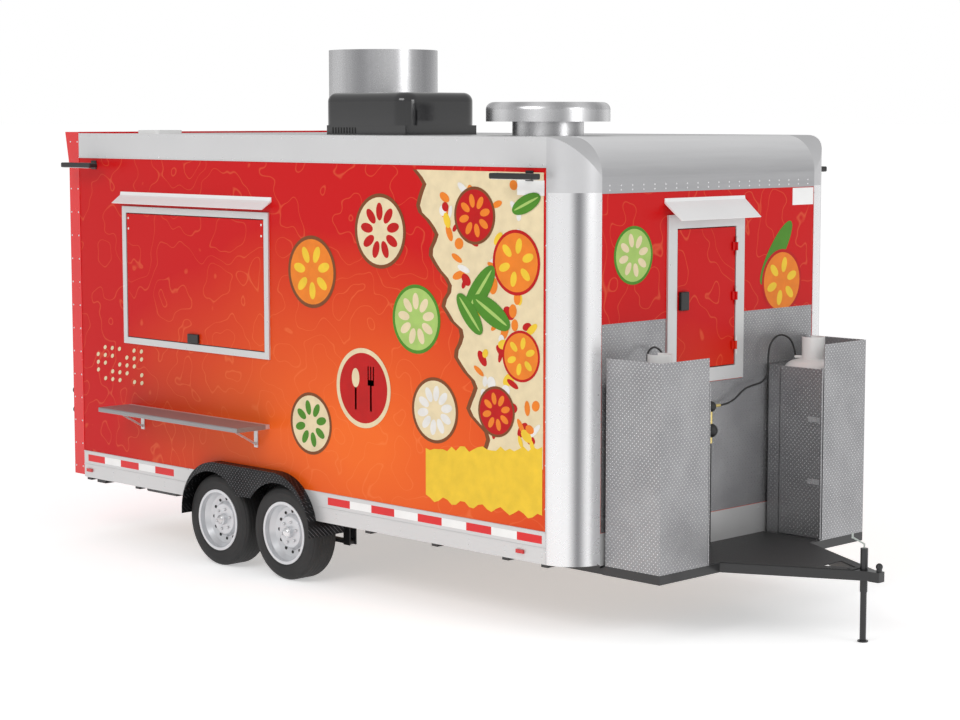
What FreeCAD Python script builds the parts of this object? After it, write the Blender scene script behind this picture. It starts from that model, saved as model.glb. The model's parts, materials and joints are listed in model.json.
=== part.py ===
"""Food concession trailer, 8 ft by 16 ft, on two axles.

The trailer is laid out in its own frame: x forwards with 0 at the front wall's
face, y to the left with 0 on the centre plane, z up with 0 on the ground.  Each
piece is then moved so that the origin is at the middle of the base.
"""
import FreeCAD
import Part
import math
import os
from FreeCAD import Vector

# ---- Body shell -----------------------------------------------------------
body_length = 4886.0
half_width = 1220.0
roof_z = 2880.0
wall = 60.0
sheet = 3.0
corner_radius = 224.0
rear_post_width = 118.0
rear_post_bottom_z = 442.0
rear_post_top_z = 2889.0
header_lean = 44.0
header_bottom_z = 2650.0
band_height = 173.0
roof_lip = 45.0
skirt_bottom_z = 427.0
skirt_top_z = 619.0
kick_plate_half_width = 996.0
casting_bottom_z = 2567.0
radius_flange = 96.0
frame_top_z = 465.0
floor_thickness = 40.0

# ---- Serving window, hatch and rear door ----------------------------------
frame_face = 44.0
frame_proud = 12.0
panel_gap = 6.0
panel_thickness = 30.0
window_x = (-4255.0, -2678.0)
window_z = (1429.0, 2381.0)
hatch_y = (-423.0, 292.0)
hatch_z = (1413.0, 2422.0)
hatch_frame_face = 82.0
rear_door_y = (-380.0, 480.0)
rear_door_z = (540.0, 2480.0)
latch_size = (115.0, 18.0, 62.0)
latch_rear_gap = 684.0
hatch_latch_size = (73.0, 24.0, 111.0)
hatch_latch_z = 1911.0
door_handle_size = (150.0, 26.0, 110.0)
door_handle_z = 1420.0
drip_cap_drop = 75.0
drip_cap_reach = 80.0
drip_cap_overhang = 25.0
window_drip_z = 2480.0
hatch_drip_z = 2521.0
hatch_drip_reach = 130.0
hatch_drip_drop = 125.0

hinge_knuckle_radius = 8.0
hinge_pin_radius = 4.0
hinge_knuckle_length = 50.0
hinge_end_length = 30.0
hinge_leaf_width = 34.0
hinge_rows = (0.14, 0.5, 0.86)

# ---- Gas struts of the serving window -------------------------------------
strut_inset = 21.0
strut_y = -1162.0
strut_foot_z = 1620.0
strut_eye_z = 2200.0
strut_cylinder_radius = 10.0
strut_rod_radius = 4.0
strut_cylinder_length = 330.0
strut_eye_radius = 9.0
strut_eye_width = 8.0
strut_pin_radius = 4.0
strut_eye_gap = 0.3
strut_stroke = 100.0

# ---- Shelf ----------------------------------------------------------------
shelf_x = (-4205.0, -2695.0)
shelf_depth = 245.0
shelf_thickness = 30.0
shelf_top_z = 1003.0
shelf_rail_depth = 30.0
shelf_clearance = 0.5
brace_x = (-4063.0, -2830.0)
brace_foot_z = 865.0
brace_foot_y = 1232.5
brace_leg_width = 36.0
brace_leg_bottom_z = 840.0
brace_lower_length = 119.0
brace_eye_out = 150.0
brace_eye_down = 10.0
brace_bar_width = 14.0
brace_bar_thickness = 4.0
brace_bar_gap = 2.0
brace_pin_radius = 3.0

# ---- Running gear ---------------------------------------------------------
axle_mid_x = -2887.0
axle_spread = 683.0
tyre_radius = 308.0
tyre_width = 205.0
tyre_bead_radius = 192.0
rim_width = 190.0
rim_flange_radius = 205.0
rim_sheet = 5.0
wheel_face_y = 1235.0
hub_radius = 55.0
hub_cap_radius = 38.0
spindle_radius = 20.0
spindle_clearance = 0.05
axle_tube_radius = 32.0
axle_tube_half_length = 1015.0
spring_y = 940.0
spring_width = 45.0
spring_thickness = 24.0
spring_half_span = 320.0
spring_eye_radius = 20.0
spring_eye_z = 268.0
hanger_plate = 8.0
hanger_gap = 0.3

# ---- Fenders --------------------------------------------------------------
fender_outer_y = 1290.0
fender_inner_y = 985.0
fender_top_z = 708.0
fender_flat_half = 300.0
fender_arc_radius = 360.0
fender_bottom_z = 322.0
fender_sheet = 4.0
fender_lip_radius = 335.0
fender_web_bottom_z = 512.0
fender_fit = 1.0

# ---- Chassis and tongue ---------------------------------------------------
rail_y = 940.0
rail_width = 50.0
rail_height = 100.0
cross_height = 60.0
cross_pitch = 600.0
outrigger_half_length = 1200.0
tongue_tube = 55.0
tongue_top_z = 420.0
platform_depth = 430.0
platform_outer_y = 973.0
tongue_half_at_platform = 437.0
tongue_nose_x = 1185.0
coupler_x = 1222.0
coupler_half_width = 33.0
coupler_socket_radius = 25.8
coupler_socket_depth = 40.0
coupler_ball_x = 1237.0
coupler_ball_z = 450.0
coupler_ball_radius = 20.5
chain_hole_radius = 9.0
chain_hole_x = 1075.0
deck_thickness = 5.0
deck_hole = ((905.0, 95.0), (905.0, -95.0), (1085.0, 0.0))

# ---- Jack -----------------------------------------------------------------
jack_x = 1132.0
jack_tube_radius = 22.0
jack_tube_wall = 3.0
jack_tube_bottom_z = 290.0
jack_tube_top_z = 544.0
jack_leg_radius = 18.5
jack_leg_overlap = 50.0
jack_foot_radius = 31.0
jack_foot_thickness = 8.0
jack_travel = 180.0
crank_rise = 24.0
crank_arm_radius = 5.0
crank_reach = 70.0

# ---- Gas enclosures and bottles -------------------------------------------
enclosure_depth = 410.0
enclosure_wall_gap = 20.0
enclosure_inner_y = 535.0
enclosure_top_z = 1624.0
enclosure_inner_top_z = 1472.0
enclosure_sheet = 4.0
enclosure_jamb = 85.0
gas_door_gap = 5.0
gas_hinge_radius = 6.0
gas_pin_radius = 3.0
gas_hinge_ear = 5.0
bottle_y = 730.0
bottle_x = 211.0
bottle_radius = 185.0
bottle_shoulder_z = 1400.0
bottle_dome_z = 1515.0
bottle_foot_radius = 140.0
bottle_foot_height = 40.0
collar_radius = 71.0
collar_wall = 4.0
collar_top_z = 1645.0
valve_radius = 16.0
elbow_radius = 9.0

# ---- Regulators, pipe and hoses -------------------------------------------
regulator_y = -60.0
regulator_stand = 45.0
regulator_upper_z = 1266.0
regulator_upper_radius = 33.0
regulator_lower_z = 1121.0
regulator_lower_radius = 43.0
regulator_seat = 0.1
fitting_radius = 11.0
fitting_length = 34.0
pipe_radius = 7.0
hose_diameter = 12.0
hose_left_points = (
    (104.0, 690.0, 1525.0),
    (84.0, 697.0, 1592.0),
    (62.0, 668.0, 1640.0),
    (50.0, 590.0, 1660.0),
    (45.0, 510.0, 1612.0),
    (43.0, 492.0, 1520.0),
    (44.0, 502.0, 1425.0),
    (45.0, 440.0, 1370.0),
    (45.0, 345.0, 1362.0),
    (45.0, 255.0, 1345.0),
    (45.0, 180.0, 1296.0),
    (45.0, 100.0, 1268.0),
    (45.0, 25.0, 1266.0),
)
hose_right_points = (
    (104.0, -690.0, 1525.0),
    (84.0, -697.0, 1594.0),
    (64.0, -662.0, 1648.0),
    (50.0, -584.0, 1670.0),
    (45.0, -506.0, 1622.0),
    (43.0, -490.0, 1530.0),
    (44.0, -504.0, 1440.0),
    (45.0, -455.0, 1376.0),
    (45.0, -378.0, 1354.0),
    (45.0, -300.0, 1322.0),
    (45.0, -222.0, 1270.0),
    (45.0, -145.0, 1266.0),
)

# ---- Roof gear, lamps and tank --------------------------------------------
cooler_centre = (-2570.0, -150.0)
cooler_size = (800.0, 680.0)
cooler_top_z = 3155.0
cooler_skirt_height = 62.0
cooler_inset = 14.0
exhaust_centre = (-3400.0, 450.0)
exhaust_radius = 388.0
exhaust_top_z = 3465.0
exhaust_wall = 6.0
exhaust_well = 240.0
relief_centre = (-1360.0, 0.0)
relief_base_radius = 229.0
relief_cap_radius = 397.0
relief_cap_bottom_z = 2975.0
relief_cap_top_z = 3088.0
relief_cap_edge = 48.0
low_vent_centre = (-4310.0, -850.0)
low_vent_side = 230.0
low_vent_height = 26.0
lamp_length = 345.0
lamp_depth = 70.0
lamp_height = 34.0
lamp_stand = 90.0
lamp_arm = 30.0
lamp_z = 2660.0
lamp_x = (-4590.0, -355.0)
tail_lamp_y = 1188.5
tail_lamp_radius = 50.0
tail_lamp_z = (900.0, 1040.0)
tail_lamp_depth = 22.0
plate_bracket_y = -700.0
plate_bracket_z = 950.0
plate_bracket_size = (6.0, 310.0, 170.0)
plate_hole_spacing = (177.8, 120.65)
plate_hole_radius = 3.5
waste_tank_x = (-4135.0, -3800.0)
waste_tank_y = (965.0, 1140.0)
waste_tank_bottom_z = 385.0
stabiliser_length = 100.0
stabiliser_y = (1050.0, 1150.0)

# ---- Values worked out from the ones above --------------------------------
skin_y = half_width - sheet
wall_inner_y = half_width - sheet - wall
shell_inner_radius = corner_radius - sheet - wall
front_corner_y = half_width - corner_radius
roof_top_z = roof_z - sheet
roof_under_z = roof_top_z - wall
rear_post_x = rear_post_width - body_length
rear_face_x = -body_length
rear_reach_x = -(body_length + header_lean)
rail_bottom_z = frame_top_z - rail_height
tongue_bottom_z = tongue_top_z - tongue_tube
coupler_reach_x = coupler_ball_x + coupler_ball_radius
fender_half_length = fender_flat_half + fender_arc_radius
wheel_x = {"front": axle_mid_x + axle_spread / 2, "rear": axle_mid_x - axle_spread / 2}
wheel_mid_y = wheel_face_y - tyre_width / 2
shelf_hinge_y = half_width + shelf_rail_depth
shelf_hinge_z = shelf_top_z - shelf_thickness
shelf_outer_y = shelf_hinge_y + shelf_depth
lamp_outer_y = half_width + lamp_stand + lamp_depth
origin_shift = Vector(
    -(rear_reach_x + coupler_reach_x) / 2,
    (shelf_outer_y - lamp_outer_y) / 2,
    0,
)
sides = {"right": -1, "left": 1}

os.makedirs("parts", exist_ok=True)


# ---- Shape helpers --------------------------------------------------------
def save(name, shape):
    """Move a piece from the trailer's frame to the part's frame and write it."""
    placed = shape.copy()
    placed.translate(origin_shift)
    placed.exportStep(f"parts/{name}.step")


def block(x, y, z):
    """A box between two limits on each axis."""
    size = [abs(pair[1] - pair[0]) for pair in (x, y, z)]
    return Part.makeBox(*size, Vector(min(x), min(y), min(z)))


def span(centre, size):
    """The two limits of a length about its middle."""
    return (centre - size / 2, centre + size / 2)


def rod(start, end, radius):
    """A round bar from one point to another."""
    axis = Vector(*end) - Vector(*start)
    return Part.makeCylinder(radius, axis.Length, Vector(*start), axis)


def tube(start, end, outer, inner):
    """A round tube from one point to another."""
    return rod(start, end, outer).cut(rod(start, end, inner))


def fuse(shapes):
    """Join touching shapes into one solid."""
    return shapes[0].multiFuse(shapes[1:]).removeSplitter()


def group(shapes):
    """Hold separate solids in one sub-part."""
    solids = [solid for shape in shapes for solid in shape.Solids]
    return Part.makeCompound(solids)


def side_y(side, near, far):
    """Limits across the trailer, measured outwards on one side."""
    return (side * near, side * far)


def mirrored(shape):
    """The same shape on the other side of the centre plane."""
    return shape.mirror(Vector(0, 0, 0), Vector(0, 1, 0))


def corner_arc(before, corner, after, radius):
    """Start, middle and end of an arc that rounds a corner."""
    arriving = (corner - before).normalize()
    leaving = (after - corner).normalize()
    half_turn = arriving.getAngle(leaving) / 2
    reach = radius * math.tan(half_turn)
    inwards = (leaving - arriving).normalize()
    depth = radius / math.cos(half_turn) - radius
    return corner - arriving * reach, corner + inwards * depth, corner + leaving * reach


def rounded_wire(points, radii, closed):
    """Straight runs joined by tangent arcs; a radius of 0 keeps a sharp corner."""
    corners = [Vector(*point) for point in points]
    count = len(corners)
    joints = []
    for index, corner in enumerate(corners):
        if radii[index] == 0 or (not closed and index in (0, count - 1)):
            joints.append((corner, corner, corner))
            continue
        before = corners[index - 1]
        after = corners[(index + 1) % count]
        joints.append(corner_arc(before, corner, after, radii[index]))
    edges = []
    for index, (start, middle, end) in enumerate(joints):
        if start.distanceToPoint(end) > 1e-6:
            edges.append(Part.Arc(start, middle, end).toShape())
        if index == count - 1 and not closed:
            break
        following = joints[(index + 1) % count][0]
        if end.distanceToPoint(following) > 1e-6:
            edges.append(Part.LineSegment(end, following).toShape())
    return Part.Wire(edges)


def prism(points, radii, direction):
    """A solid from a rounded outline, pushed along a direction."""
    return Part.Face(rounded_wire(points, radii, True)).extrude(direction)


def turned_y(profile, centre):
    """A solid turned about a cross axis; profile points are radius and y."""
    points = [(centre[0] + radius, y, centre[1]) for radius, y, _ in profile]
    radii = [corner for _, _, corner in profile]
    face = Part.Face(rounded_wire(points, radii, True))
    axis_point = Vector(centre[0], 0, centre[1])
    return face.revolve(axis_point, Vector(0, 1, 0), 360)


def turned_z(profile, centre):
    """A solid turned about an upright axis; profile points are radius and z."""
    points = [(centre[0] + radius, centre[1], z) for radius, z, _ in profile]
    radii = [corner for _, _, corner in profile]
    face = Part.Face(rounded_wire(points, radii, True))
    return face.revolve(Vector(centre[0], centre[1], 0), Vector(0, 0, 1), 360)


def ring(x, y, z, face, through):
    """A rectangular frame; through is the index of the axis it is open along."""
    inner = []
    for axis, pair in enumerate((x, y, z)):
        if axis == through:
            inner.append((min(pair) - wall, max(pair) + wall))
        else:
            inner.append((min(pair) + face, max(pair) - face))
    return block(x, y, z).cut(block(*inner))


# ---- Wheel-arch outline ---------------------------------------------------
def arch_solid(offset, y):
    """The space under a fender, grown by an offset, between two y limits."""
    half = fender_half_length + offset
    top = fender_top_z + offset
    bottom = fender_bottom_z
    outline = (
        (axle_mid_x - half, min(y), bottom),
        (axle_mid_x - half, min(y), top),
        (axle_mid_x + half, min(y), top),
        (axle_mid_x + half, min(y), bottom),
    )
    corner = fender_arc_radius + offset
    return prism(outline, (0, corner, corner, 0), Vector(0, max(y) - min(y), 0))


# ---- Shell ----------------------------------------------------------------
def front_quarter(side, radius, bottom, top):
    """Quarter disc that fills a front corner up to a radius, on one side."""
    centre = Vector(-corner_radius, side * front_corner_y, bottom)
    disc = Part.makeCylinder(radius, top - bottom, centre)
    keep = block(
        (-corner_radius, 0), side_y(side, front_corner_y, half_width + wall), (bottom, top)
    )
    return disc.common(keep)


def roof_nose(radius, y):
    """Front edge of the roof as a rounded block, filled up to a radius."""
    centre_z = roof_z - corner_radius
    low = Vector(-corner_radius, min(y), centre_z)
    round_bar = Part.makeCylinder(radius, max(y) - min(y), low, Vector(0, 1, 0))
    below = block((-corner_radius, radius - corner_radius), y, (casting_bottom_z - wall, centre_z))
    return round_bar.multiFuse([below])


def make_front_corners():
    corners = []
    for side in sides.values():
        outer = front_quarter(side, corner_radius, skirt_bottom_z, casting_bottom_z)
        inner = front_quarter(side, shell_inner_radius, skirt_bottom_z, casting_bottom_z)
        corners.append(outer.cut(inner))
    return group(corners)


def make_top_corners():
    corners = []
    for side in sides.values():
        y = side_y(side, front_corner_y, half_width)
        outer = front_quarter(side, corner_radius, casting_bottom_z, roof_z)
        outer = outer.common(roof_nose(corner_radius, y))
        inner = front_quarter(side, shell_inner_radius, casting_bottom_z - wall, roof_z)
        inner = inner.common(roof_nose(shell_inner_radius, y))
        corners.append(outer.cut(inner))
    return group(corners)


def make_front_top_radius():
    y = (-front_corner_y, front_corner_y)
    centre_z = roof_z - corner_radius
    low = Vector(-corner_radius, y[0], centre_z)
    outer = Part.makeCylinder(corner_radius, y[1] - y[0], low, Vector(0, 1, 0))
    inner = Part.makeCylinder(shell_inner_radius, y[1] - y[0], low, Vector(0, 1, 0))
    keep = block((-corner_radius, 0), y, (centre_z, roof_z))
    flange = block((-sheet, 0), y, (centre_z - radius_flange, centre_z))
    return fuse([outer.cut(inner).common(keep), flange])


def make_side_wall(side):
    y = side_y(side, wall_inner_y, skin_y)
    panel = block((rear_post_x, -corner_radius), y, (frame_top_z, roof_under_z))
    panel = panel.cut(arch_solid(fender_fit, side_y(side, wall_inner_y - wall, half_width)))
    if side == sides["right"]:
        panel = panel.cut(block(window_x, side_y(side, 0, half_width), window_z))
    return panel


def make_front_wall():
    y = (-front_corner_y, front_corner_y)
    panel = block((-sheet - wall, -sheet), y, (frame_top_z, roof_z - corner_radius))
    return panel.cut(block((-2 * wall, wall), hatch_y, hatch_z))


def make_rear_wall():
    x = (rear_face_x + sheet, rear_face_x + sheet + wall)
    panel = block(x, (-wall_inner_y, wall_inner_y), (frame_top_z, header_bottom_z))
    opening = block((rear_face_x - wall, rear_face_x + 2 * wall), rear_door_y, rear_door_z)
    return panel.cut(opening)


def make_rear_frame():
    pieces = []
    for side in sides.values():
        y = side_y(side, wall_inner_y, half_width)
        pieces.append(block((rear_face_x, rear_post_x), y, (rear_post_bottom_z, rear_post_top_z)))
    lintel = (-wall_inner_y, wall_inner_y)
    pieces.append(block((rear_face_x, rear_post_x), lintel, (header_bottom_z, roof_top_z)))
    wedge = (
        (rear_face_x, -half_width, header_bottom_z),
        (rear_reach_x, -half_width, rear_post_top_z),
        (rear_face_x, -half_width, rear_post_top_z),
    )
    pieces.append(prism(wedge, (0, 0, 0), Vector(0, 2 * half_width, 0)))
    return fuse(pieces)


def make_roof():
    return block((rear_post_x, -corner_radius), (-skin_y, skin_y), (roof_under_z, roof_top_z))


def make_roof_edges():
    edges = []
    x = (rear_post_x, -corner_radius)
    for side in sides.values():
        upright = block(x, side_y(side, skin_y, half_width), (roof_z - band_height, roof_z))
        lip = block(x, side_y(side, half_width - roof_lip, half_width), (roof_top_z, roof_z))
        edges.append(fuse([upright, lip]))
    return group(edges)


def make_skirts():
    skirts = []
    for side in sides.values():
        y = side_y(side, skin_y, half_width)
        skirt = block((rear_post_x, -corner_radius), y, (skirt_bottom_z, skirt_top_z))
        skirts.append(skirt.cut(arch_solid(fender_fit, side_y(side, skin_y - wall, half_width))))
    y = (-kick_plate_half_width, kick_plate_half_width)
    skirts.append(block((-sheet, 0), y, (tongue_top_z, skirt_top_z - 10)))
    return group(skirts)


def make_floor():
    inner = shell_inner_radius
    front = -sheet - wall
    back = rear_face_x + sheet + wall
    outline = (
        (back, -wall_inner_y, frame_top_z),
        (front, -wall_inner_y, frame_top_z),
        (front, wall_inner_y, frame_top_z),
        (back, wall_inner_y, frame_top_z),
    )
    slab = prism(outline, (0, inner, inner, 0), Vector(0, 0, floor_thickness))
    for side in sides.values():
        well = block(
            span(axle_mid_x, 2 * (fender_half_length + fender_fit)),
            side_y(side, fender_inner_y - fender_fit, half_width),
            (frame_top_z - wall, frame_top_z + wall),
        )
        slab = slab.cut(well)
    return slab


# ---- Chassis --------------------------------------------------------------
def hanger(x, side, inner):
    """Two plates that hold a spring eye below a main rail, with their pin."""
    plates = []
    width = 60.0
    for edge in (-1, 1):
        near = spring_width / 2 + hanger_gap
        y = sorted(side * spring_y + edge * offset for offset in (near, near + hanger_plate))
        plates.append(block(span(x, width + inner), y, (spring_eye_z - 30, rail_bottom_z + 30)))
    return plates


def make_chassis_frame():
    pieces = []
    rail_x = (rear_post_x + sheet, -sheet)
    for side in sides.values():
        y = span(side * rail_y, rail_width)
        pieces.append(block(rail_x, y, (rail_bottom_z, frame_top_z)))
        for offset in (-1, 0, 1):
            x = axle_mid_x + offset * (axle_spread / 2 + spring_half_span)
            pieces.extend(hanger(x, side, 40.0 if offset == 0 else 0.0))
    full = (-outrigger_half_length, outrigger_half_length)
    short = (-rail_y, rail_y)
    z = (frame_top_z - cross_height, frame_top_z)
    pieces.append(block((rail_x[0], rail_x[0] + rail_width), full, z))
    pieces.append(block((-corner_radius - rail_width, -corner_radius), full, z))
    pieces.append(block((rail_x[1] - rail_width, rail_x[1]), (-front_corner_y, front_corner_y), z))
    count = int((body_length - 2 * corner_radius) // cross_pitch)
    for index in range(1, count + 1):
        x = rail_x[0] + index * cross_pitch
        clear_of_arch = abs(x - axle_mid_x) > fender_half_length + rail_width
        y = full if clear_of_arch else short
        pieces.append(block(span(x, rail_width), y, z))
    return fuse(pieces)


def tongue_edge(x):
    """Half width of the A-frame's outer edge at a place along the tongue."""
    nose = coupler_half_width
    run = tongue_nose_x - platform_depth
    return nose + (tongue_half_at_platform - nose) * (tongue_nose_x - x) / run


def make_tongue_frame():
    """Platform rails and the two A-frame rails, welded at the nose."""
    height = Vector(0, 0, tongue_tube)
    base = tongue_bottom_z
    back = -sheet
    outline = [
        (back, -platform_outer_y, base),
        (platform_depth, -platform_outer_y, base),
        (platform_depth, -tongue_edge(platform_depth), base),
        (tongue_nose_x, -coupler_half_width, base),
        (tongue_nose_x, coupler_half_width, base),
        (platform_depth, tongue_edge(platform_depth), base),
        (platform_depth, platform_outer_y, base),
        (back, platform_outer_y, base),
    ]
    body = prism(outline, [0] * len(outline), height)
    for side in sides.values():
        pocket = block(
            (back + rail_width, platform_depth - rail_width),
            side_y(side, enclosure_inner_y + rail_width / 2, platform_outer_y - rail_width),
            (base - sheet, tongue_top_z + sheet),
        )
        body = body.cut(pocket)
    inner_edge = tongue_edge(platform_depth) - rail_width * 1.15
    middle = [
        (back + rail_width, -inner_edge, base),
        (platform_depth, -inner_edge, base),
        (tongue_nose_x - 130, -0.5, base),
        (tongue_nose_x - 130, 0.5, base),
        (platform_depth, inner_edge, base),
        (back + rail_width, inner_edge, base),
    ]
    body = body.cut(prism(middle, [0] * len(middle), height))
    body = body.cut(rod((jack_x, 0, base), (jack_x, 0, tongue_top_z), jack_tube_radius))
    for side in sides.values():
        y = side * (tongue_edge(chain_hole_x) - rail_width / 2)
        hole = rod((chain_hole_x, y, base), (chain_hole_x, y, tongue_top_z), chain_hole_radius)
        body = body.cut(hole)
    return body


def make_tongue_deck():
    """Mesh deck between the enclosures, with its triangular hand hole."""
    top = tongue_top_z + deck_thickness
    edge = 10.0
    nose_x = jack_x - jack_tube_radius - edge
    half_back = enclosure_inner_y - edge
    front_x = platform_depth - edge
    outline = (
        (0, -half_back, tongue_top_z),
        (front_x, -half_back, tongue_top_z),
        (platform_depth, -tongue_edge(platform_depth) + edge, tongue_top_z),
        (nose_x, -tongue_edge(nose_x) + edge, tongue_top_z),
        (nose_x, tongue_edge(nose_x) - edge, tongue_top_z),
        (platform_depth, tongue_edge(platform_depth) - edge, tongue_top_z),
        (front_x, half_back, tongue_top_z),
        (0, half_back, tongue_top_z),
    )
    deck = prism(outline, [0] * len(outline), Vector(0, 0, top - tongue_top_z))
    hole = [(x, y, tongue_top_z) for x, y in deck_hole]
    deck = deck.cut(prism(hole, (4, 4, 4), Vector(0, 0, deck_thickness)))
    for side in sides.values():
        y = side * (tongue_edge(chain_hole_x) - rail_width / 2)
        hole = rod((chain_hole_x, y, tongue_top_z), (chain_hole_x, y, top), chain_hole_radius + 3)
        deck = deck.cut(hole)
    return deck


def make_coupler():
    nose = block(
        (tongue_nose_x, coupler_x + coupler_half_width),
        (-coupler_half_width, coupler_half_width),
        (tongue_bottom_z - sheet, tongue_top_z),
    )
    nose = nose.makeFillet(10, [edge for edge in nose.Edges if is_front_upright(edge)])
    foot = (coupler_x, 0, tongue_bottom_z - sheet)
    socket_top = tongue_bottom_z - sheet + coupler_socket_depth
    nose = nose.cut(rod(foot, (coupler_x, 0, socket_top), coupler_socket_radius))
    neck = rod((coupler_ball_x, 0, tongue_top_z), (coupler_ball_x, 0, coupler_ball_z), 16.5)
    ball = Part.makeSphere(coupler_ball_radius, Vector(coupler_ball_x, 0, coupler_ball_z))
    return fuse([nose, neck, ball])


def is_front_upright(edge):
    """True for an upright edge at the coupler's front."""
    box = edge.BoundBox
    return box.ZLength > sheet and box.XLength < 1e-6 and box.XMin > coupler_x


# ---- Jack -----------------------------------------------------------------
def make_jack_tube():
    barrel = tube(
        (jack_x, 0, jack_tube_bottom_z),
        (jack_x, 0, jack_tube_top_z),
        jack_tube_radius,
        jack_tube_radius - jack_tube_wall,
    )
    cap = rod((jack_x, 0, jack_tube_top_z - 6), (jack_x, 0, jack_tube_top_z), jack_tube_radius)
    return fuse([barrel, cap])


def make_jack_leg():
    top = jack_tube_bottom_z + jack_leg_overlap
    leg = rod((jack_x, 0, 0), (jack_x, 0, top), jack_leg_radius)
    foot = rod((jack_x, 0, 0), (jack_x, 0, jack_foot_thickness), jack_foot_radius)
    return fuse([leg, foot])


def make_jack_crank():
    top = jack_tube_top_z + crank_rise
    stub = rod((jack_x, 0, jack_tube_top_z), (jack_x, 0, top), crank_arm_radius)
    knuckle = Part.makeSphere(crank_arm_radius, Vector(jack_x, 0, top))
    end = (jack_x - crank_reach, -18, top + 32)
    arm = rod((jack_x, 0, top), end, crank_arm_radius)
    grip = rod((end[0], end[1], end[2] - 6), (end[0], end[1], end[2] + 26), crank_arm_radius + 1)
    return fuse([stub, knuckle, arm, grip])


# ---- Running gear ---------------------------------------------------------
def make_axles():
    axles = []
    for x in wheel_x.values():
        beam = rod(
            (x, -axle_tube_half_length, tyre_radius),
            (x, axle_tube_half_length, tyre_radius),
            axle_tube_radius,
        )
        pieces = [beam]
        for side in sides.values():
            inner = (x, side * axle_tube_half_length, tyre_radius)
            outer = (x, side * (wheel_face_y - 40), tyre_radius)
            pieces.append(rod(inner, outer, spindle_radius))
            pad = block(
                span(x, 2 * axle_tube_radius),
                span(side * spring_y, spring_width),
                (spring_seat_z(), tyre_radius),
            )
            pieces.append(pad)
        axles.append(fuse(pieces))
    return group(axles)


def spring_seat_z():
    """Top face of a leaf spring at its middle."""
    return spring_eye_z


def make_leaf_springs():
    springs = []
    for x in wheel_x.values():
        for side in sides.values():
            y = span(side * spring_y, spring_width)
            leaf_z = (spring_eye_z - spring_thickness, spring_eye_z)
            main = block(span(x, 2 * spring_half_span), y, leaf_z)
            short = block(
                span(x, spring_half_span), y, (leaf_z[0] - spring_thickness / 2, leaf_z[0])
            )
            pieces = [main, short]
            for end in (-1, 1):
                inset = 12.0 if (x + end * spring_half_span - axle_mid_x) * end < 0 else 0.0
                eye_x = x + end * (spring_half_span - inset)
                eye_z = spring_eye_z - spring_thickness / 2
                low = (eye_x, y[0], eye_z)
                high = (eye_x, y[1], eye_z)
                pieces.append(rod(low, high, spring_eye_radius))
            springs.append(fuse(pieces))
    return group(springs)


def make_tyre(x, side):
    half = tyre_width / 2
    profile = (
        (tyre_bead_radius, wheel_mid_y - half + 14, 0),
        (tyre_bead_radius + 30, wheel_mid_y - half, 16),
        (tyre_radius - 46, wheel_mid_y - half, 20),
        (tyre_radius, wheel_mid_y - half + 12, 34),
        (tyre_radius, wheel_mid_y + half - 12, 34),
        (tyre_radius - 46, wheel_mid_y + half, 20),
        (tyre_bead_radius + 30, wheel_mid_y + half, 16),
        (tyre_bead_radius, wheel_mid_y + half - 14, 0),
    )
    shape = turned_y(profile, (x, tyre_radius))
    return shape if side > 0 else mirrored(shape)


def make_rim(x, side):
    """Pressed steel wheel: flanges, barrel, disc, hub and hub cap in one solid."""
    half = rim_width / 2
    inner = wheel_mid_y - half
    outer = wheel_mid_y + half
    seat = tyre_bead_radius - 0.3
    drop = 168.0
    disc = wheel_mid_y + 18
    raised = disc + 26
    bore = spindle_radius + spindle_clearance
    t = rim_sheet
    profile = (
        (rim_flange_radius, inner - t, 0),
        (rim_flange_radius, inner, 0),
        (seat, inner, 0),
        (seat, inner + 34, 0),
        (drop, inner + 62, 0),
        (drop, outer - 62, 0),
        (seat, outer - 34, 0),
        (seat, outer, 0),
        (rim_flange_radius, outer, 0),
        (rim_flange_radius, outer + t, 0),
        (seat - t, outer + t, 0),
        (seat - t, outer - 32, 0),
        (drop - t, outer - 64, 0),
        (drop - t - 12, disc + t + 3, 8),
        (118.0, disc + t - 6, 8),
        (102.0, raised + t, 8),
        (hub_cap_radius, raised + t, 0),
        (hub_cap_radius, outer - 16, 6),
        (0.0, outer - 16, 0),
        (0.0, outer - 26, 0),
        (bore, outer - 26, 0),
        (bore, inner + 20, 0),
        (hub_radius, inner + 20, 0),
        (hub_radius, raised, 0),
        (98.0, raised, 6),
        (114.0, disc - 6, 6),
        (drop - t, disc, 0),
        (drop - t, inner + 64, 0),
        (seat - t, inner + 36, 0),
        (seat - t, inner - t, 0),
    )
    shape = turned_y(profile, (x, tyre_radius))
    return shape if side > 0 else mirrored(shape)


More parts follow.
